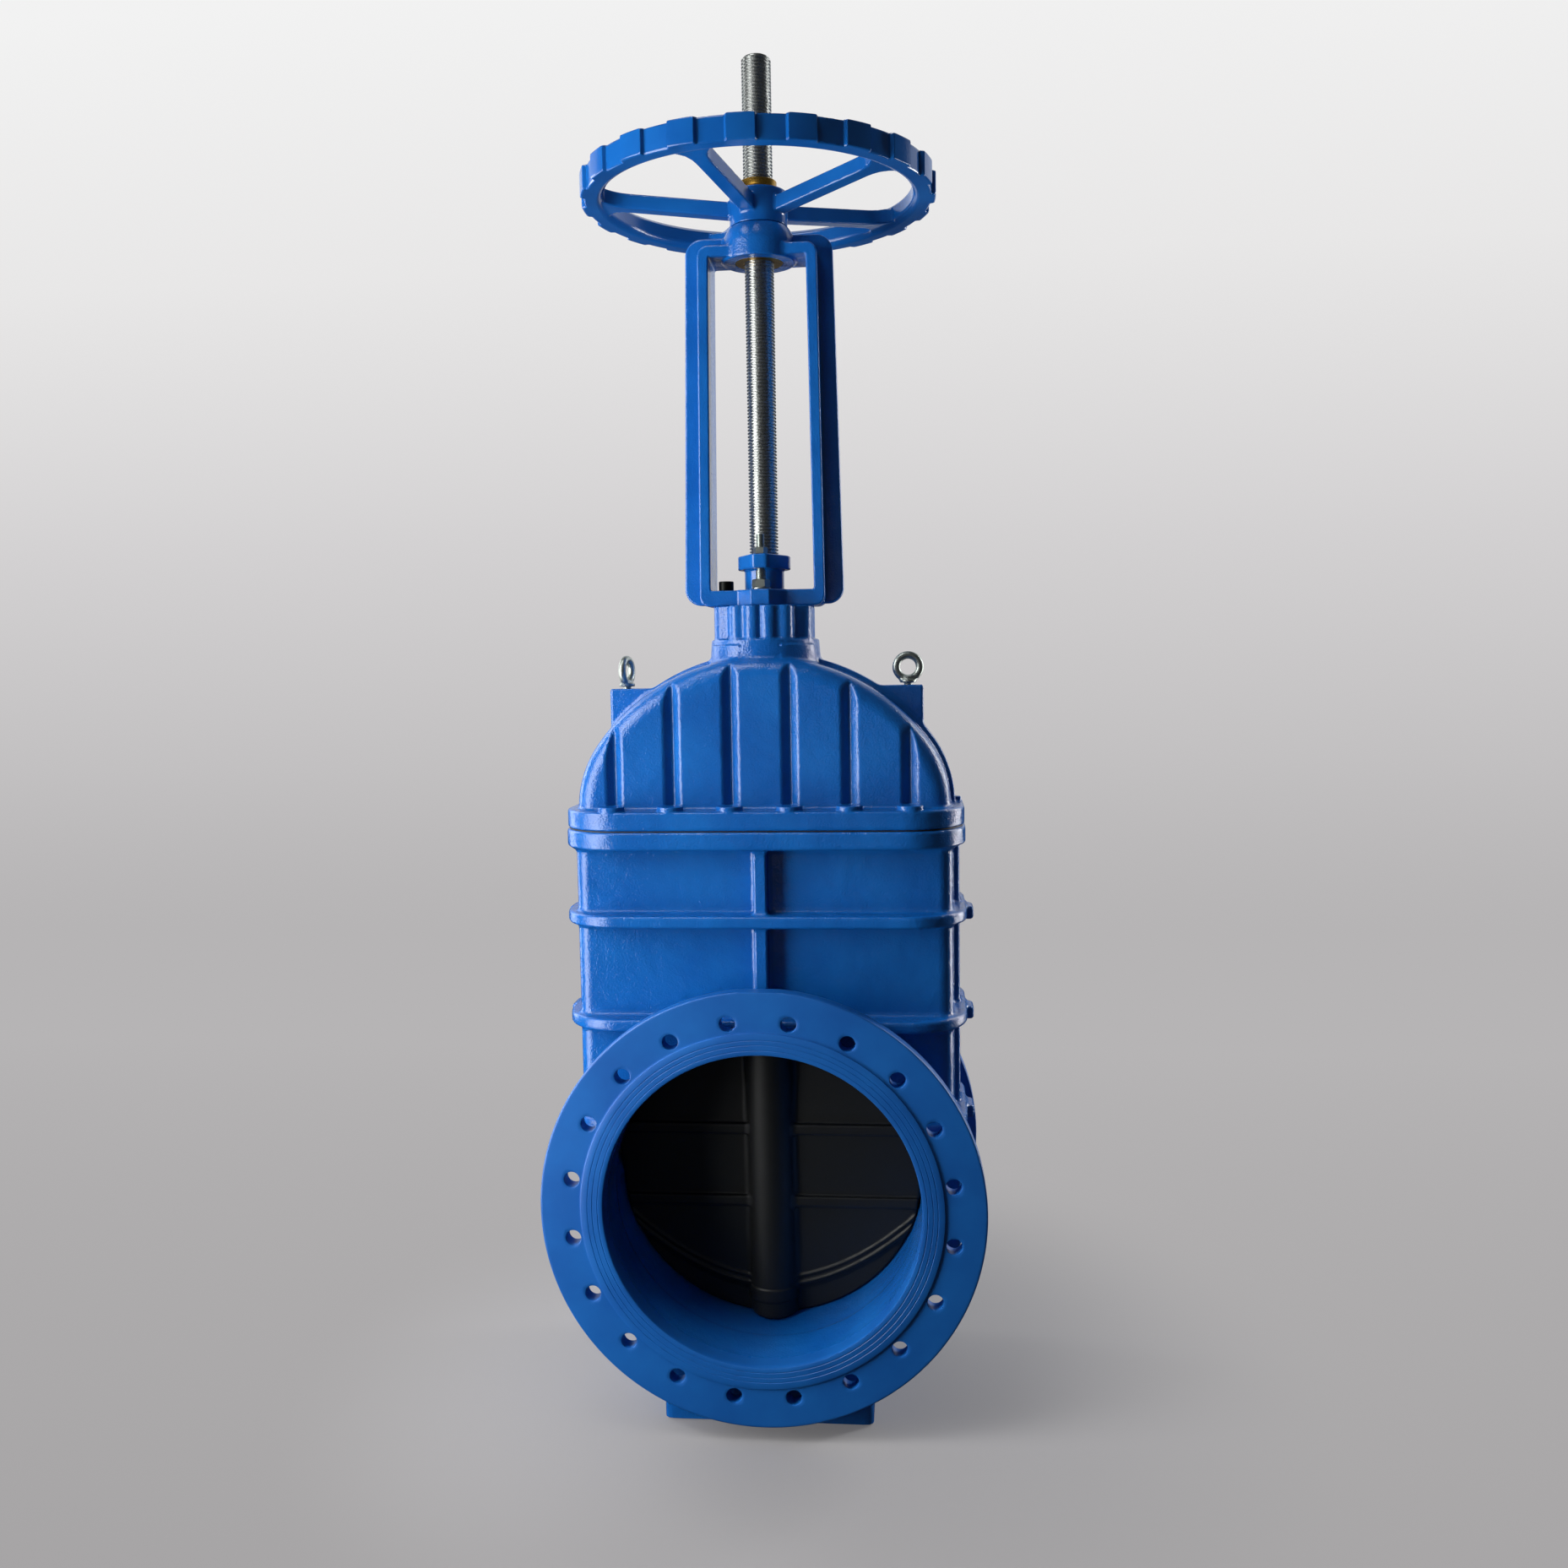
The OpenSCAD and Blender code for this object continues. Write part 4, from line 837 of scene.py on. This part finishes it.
for side, label in ((1, "right"), (-1, "left")):
    p, f, normals = surface(shoe_field, steps(300, (362, 3)), both_ways(0, (18, 2.5)), steps(335, (475, 5)))
    flip = np.array([side, 1, 1])
    piece(f"{label}_guide_shoe_moulded", "rising_stem", "shoe_plastic", (p * flip, f, normals * flip),
          [f"{label}_guide_shoe"])
shape = surface(nut_field, both_ways(0, (56, 3)), both_ways(0, (50, 3)), steps(776, (829, 3)))
piece("wedge_nut_block", "rising_stem", "brass", shape, ["wedge_nut"])

# ---- stem
foot = 720
screw = threaded(STEM_R, 2.9, STEM_PITCH, THREAD_LOW, STEM_TOP, 4.5, hand=-1)
plain = turned([(0, foot), (STEM_R - 2, foot), (STEM_R, foot + 2), (STEM_R, THREAD_LOW),
                (STEM_R - 3, THREAD_LOW + 3), (0, THREAD_LOW + 3)])
piece("stem_thread", "rising_stem", "stem_steel", screw, ["stem"])
piece("stem_shank", "rising_stem", "stem_steel", plain, ["stem"])

# ---- brass, seals, fixings
# The sleeve: a flange below, the bearing in the yoke's hub, and a neck that carries the wheel.
top = WHEEL_LOW + HUB_H
bore, broken = SLEEVE_BORE, SLEEVE_BORE + 1.5
rows = [(bore, HUB_LOW + 1.5), (broken, HUB_LOW), (44.8, HUB_LOW), (46, HUB_LOW + 1.2), (46, HUB_LOW + 8),
        (SLEEVE_R, HUB_LOW + 8), (SLEEVE_R, WHEEL_LOW), (SLEEVE_TOP_R, WHEEL_LOW), (SLEEVE_TOP_R, top),
        (broken, top), (bore, top - 1.5)]
piece("sleeve_turned", "wheel", "brass", turned(rows, 96), ["screw_sleeve"])
# The lock ring on top of it: a flange with broken edges and a narrower collar.
low = top + 0.3
rows = [(bore, low + 1), (bore + 1, low), (37.5, low), (38.5, low + 1), (38.5, low + 7), (37.5, low + 8),
        (36.2, low + 8.4), (36, low + 9), (36, low + 19.5), (34.5, low + 21), (broken, low + 21),
        (bore, low + 19.5)]
piece("lock_ring_turned", "wheel", "brass", turned(rows, 96), ["lock_ring"])
washer = turned(ring_rows(43, 48.6, HUB_TOP, HUB_TOP + 2.4, 0.4), 96)
piece("thrust_washer_turned", "valve", "brass", washer, ["thrust_washer"])
# The packing: two rings, with a groove where they meet.
low, groove = PACKING_LOW, PACKING_LOW + 13.6
rows = [(bore, low), (PACKING_R, low), (PACKING_R, groove - 0.6), (PACKING_R - 1, groove),
        (PACKING_R, groove + 0.6), (PACKING_R, PACKING_TOP), (bore, PACKING_TOP)]
piece("packing_rings", "valve", "black_seal", turned(rows), ["stem_packing"])
inner, outer = outline(CHEST_W, 129, 12), outline(383, 187, 113)
rows = np.stack([np.column_stack([o, np.full(len(o), h)]) for o, h in
                 ((inner, JOINT), (outer, JOINT), (outer, JOINT + GASKET), (inner, JOINT + GASKET))])
sheet = rows.reshape(-1, 3), grid_quads(4, len(inner), True, True)
piece("gasket_sheet", "valve", "black_seal", sheet, ["bonnet_gasket"])

# The fixings at the front and the same at the back: six cap screws from below, and a gland stud that
# steps from 20 to 16 mm, with a nut and washer on the yoke's lug and a nut on the gland.
for side, label in ((-1, "front"), (1, "back")):
    y = side * STUD_Y
    seat = TOP_LOW + SCREW_RECESS
    heads = [cap_screw(30, 20, 17, 10, 20, 42, (sx, side * SCREW_Y, seat), -1) for sx in SCREW_X]
    piece(f"{label}_bonnet_cap_screws", "valve", "zinc", join(*heads), [f"{label}_bonnet_screws"])
    foot = threaded(10, 1.2, 2.5, 1544, 1650, 1.5, rows_a_turn=6, n=36)
    tip = threaded(8, 1.0, 2.0, 1648, 1718, 1.2, rows_a_turn=6, n=36)
    p, f = join(foot[:2], tip[:2])
    stud = p + [0, y, 0], f, np.concatenate([foot[2], tip[2]])
    piece(f"{label}_stud_threads", "valve", "zinc", stud, [f"{label}_gland_stud"])
    nut = hex_nut(24, 12.8, 16.3, (0, y, GLAND_TOP))
    piece(f"{label}_gland_hex_nut", "valve", "zinc", nut, [f"{label}_gland_nut"])
    nut = hex_nut(30, 16, 20.3, (0, y, PLATE_TOP + 3))
    piece(f"{label}_yoke_hex_nut", "valve", "zinc", nut, [f"{label}_yoke_nut"])
    washer = turned(ring_rows(10.2, 18, PLATE_TOP, PLATE_TOP + 3), 64, (0, y, 0))
    piece(f"{label}_plate_washer", "valve", "zinc", washer, [f"{label}_yoke_nut_washer"])
screw = cap_screw(29, 18, 17, 8, 20, 28, (-72, -30, PLATE_TOP))
piece("yoke_cap_screw", "valve", "black_steel", screw, ["yoke_screw"])


def eye_field(x, y, z):
    """Lifting eye: a ring on a collar that grows out of it, and the shank below."""
    up, across = z - EYE_BASE, np.hypot(x, y)
    from_eye = np.hypot(x, up - EYE_RING_UP)
    collar_r, stem_r, shank_r, base = 15.5, 10, 7.8, 4
    ring = np.hypot(from_eye - EYE_RING_R, y) - EYE_WIRE_R
    collar = cut_round(across - collar_r, slab(up, base, 10.5), 1.8)
    d = join_round(ring, join_round(collar, np.maximum(across - stem_r, slab(up, 5, 16)), 4), 5)
    d = np.maximum(d, -np.maximum(from_eye - (EYE_RING_R - EYE_WIRE_R), np.abs(y) - 3))
    return np.minimum(np.maximum(d, base - up), np.maximum(across - shank_r, slab(up, -20, 6)))


for x_eye, turn_deg, label in ((-EYE_X, 78, "left"), (EYE_X, 4, "right")):
    p, f, normals = surface(eye_field, both_ways(0, (33, 1.6)), both_ways(0, (18, 1.6)),
                            steps(1402, (1492, 1.6)))
    c, s_ = math.cos(math.radians(turn_deg)), math.sin(math.radians(turn_deg))
    spin = np.array([[c, s_, 0], [-s_, c, 0], [0, 0, 1]])
    shape = p @ spin + [x_eye, 0, 0], f, normals @ spin
    piece(f"{label}_lifting_eye", "valve", "zinc", shape, [f"{label}_eyebolt"])

# ---- floor, backdrop, lamps
# The sweep, in metres: a floor, a quarter circle up and a wall, as (y, z) rows at either side.
half_width, front, bend_y, bend_r, wall_top = 16.0, -9.0, 4.5, 3.0, 14.0
a = np.linspace(0, math.pi / 2, 24)
bend = np.column_stack([bend_y + bend_r * np.sin(a), bend_r - bend_r * np.cos(a)])
sweep = np.concatenate([[[front, 0.0]], [[3.5, 0.0]], bend, [[bend_y + bend_r, wall_top]]])
rows = np.stack([np.column_stack([np.full(len(sweep), x), sweep]) for x in (-half_width, half_width)])
mesh = bpy.data.meshes.new("backdrop")
mesh.from_pydata(rows.reshape(-1, 3).tolist(), [], grid_quads(2, len(sweep)).tolist())
mesh.shade_smooth()
backdrop = bpy.data.objects.new("backdrop", mesh)
scene.collection.objects.link(backdrop)

# Sweep with painted light: the camera sees a floor and a plain pale wall whose glow grows lighter away
# from the valve. Other rays see a painted glow that is dark low down and bright above, which lights the
# valve and which the gloss coat mirrors.
m, t, b = finish("sweep_with_painted_glow", "#a09e9f", 0, 0.85)
place = node(t, "ShaderNodeTexCoord").outputs["Object"]
parts = node(t, "ShaderNodeSeparateXYZ", [(place, "Vector")])
depth = node(t, "ShaderNodeMapRange", [(parts.outputs["Y"], "Value")], in_From_Min=-1.6, in_From_Max=2.4)
# Painted light: the floor's glow grows lighter from the front towards the back.
floor = node(t, "ShaderNodeValToRGB", [(depth.outputs[0], "Fac")],
             ((0.0, "#a09e9f"), (0.35, "#aaa8a9"), (1.0, "#b6b4b5")))
height = node(t, "ShaderNodeMapRange", [(parts.outputs["Z"], "Value")], in_From_Max=8.0)
# Painted light: the wall's glow grows lighter upwards.
wall_glow_ramp = node(t, "ShaderNodeValToRGB", [(height.outputs[0], "Fac")],
            ((0.0, "#b6b4b5"), (0.1, "#c2c0c1"), (0.3, "#d3d1d2"), (0.55, "#e8e7e7"), (0.8, "#f2f2f2")))
wall = node(t, "ShaderNodeMapRange", [(parts.outputs["Z"], "Value")], in_From_Max=0.02)
camera_glow = node(t, "ShaderNodeMixShader", [(wall.outputs[0], 0)])
for k, part in ((1, floor), (2, wall_glow_ramp)):
    glow = node(t, "ShaderNodeEmission", [(part.outputs["Color"], "Color")])
    t.links.new(glow.outputs[0], camera_glow.inputs[k])
# The lit and shaded floor shows within a metre or so of the valve, by the distance from this spot.
spot = node(t, "ShaderNodeVectorMath", [(place, 0)], operation="DISTANCE", in_1=(0.1, 0.1, 0))
far = node(t, "ShaderNodeMapRange", [(spot.outputs["Value"], "Value")], in_From_Min=0.35, in_From_Max=1.15,
           in_To_Min=0.25, interpolation_type="SMOOTHSTEP")
seen = node(t, "ShaderNodeMixShader", [(far.outputs[0], 0), (b.outputs[0], 1), (camera_glow.outputs[0], 2)])
# Painted light for all but camera rays: the sweep glows at 0.04 below 0.9 m and at full strength above 1.9
# m.
back = node(t, "ShaderNodeMapRange", [(parts.outputs["Z"], "Value")], in_From_Min=0.9, in_From_Max=1.9,
            in_To_Min=0.04)
dim = node(t, "ShaderNodeEmission", [(back.outputs[0], "Strength")], in_Color=hex_colour("#e4e8ee"))
ray = node(t, "ShaderNodeLightPath").outputs["Is Camera Ray"]
mix = node(t, "ShaderNodeMixShader", [(ray, 0), (dim.outputs[0], 1), (seen.outputs[0], 2)])
t.links.new(mix.outputs[0], t.nodes["Material Output"].inputs["Surface"])
mesh.materials.append(m)

# World: a dim sky for the light, and a pale grey where a view looks past the sweep.
world = bpy.data.worlds.new("world")
scene.world = world
world.use_nodes = True
w = world.node_tree
sky = w.nodes["Background"]
sky.inputs["Color"].default_value = hex_colour("#cfd4dc")
sky.inputs["Strength"].default_value = 0.08
pale = node(w, "ShaderNodeBackground", in_Color=hex_colour("#d9d8d8"))
ray = node(w, "ShaderNodeLightPath").outputs["Is Camera Ray"]
mix = node(w, "ShaderNodeMixShader", [(ray, 0), (sky.outputs[0], 1), (pale.outputs[0], 2)])
w.links.new(mix.outputs[0], w.nodes["World Output"].inputs["Surface"])
scene.view_settings.view_transform = "Standard"


def lamp(name, place, aim, size, watts, tall=None, code="#ffffff"):
    """Area lamp at a place, facing a point, in metres and watts; square unless tall is given."""
    d = bpy.data.lights.new(name, "AREA")
    d.shape, d.size, d.size_y, d.energy = "RECTANGLE", size, tall or size, watts
    d.color = hex_colour(code)[:3]
    o = bpy.data.objects.new(name, d)
    scene.collection.objects.link(o)
    o.location = place
    o.rotation_mode = "QUATERNION"
    o.rotation_quaternion = (Vector(aim) - Vector(place)).to_track_quat("-Z", "Y")


# key, side and top light the left, rim the right edges, and the cards are small lights in the gloss.
lamp("key", (-1.45, -0.95, 1.3), (0, 0, 1.15), 1.0, 65, 2.6)
lamp("side", (-2.0, 0.9, 1.6), (0, 0, 1.2), 0.5, 22, 2.6)
lamp("top", (-0.9, -1.2, 4.4), (0, 0, 1.2), 1.2, 28)
lamp("rim", (2.0, 1.0, 1.36), (0, 0, 1.2), 0.34, 42, 2.6)
lamp("card", (-0.01, -2.95, 1.34), (0.15, 0, 1.4), 0.2, 0.6, 0.14)
lamp("dim_card", (-0.69, -2.95, 1.2), (-0.2, 0, 1.3), 0.2, 0.5, 0.7, "#e0c8d8")
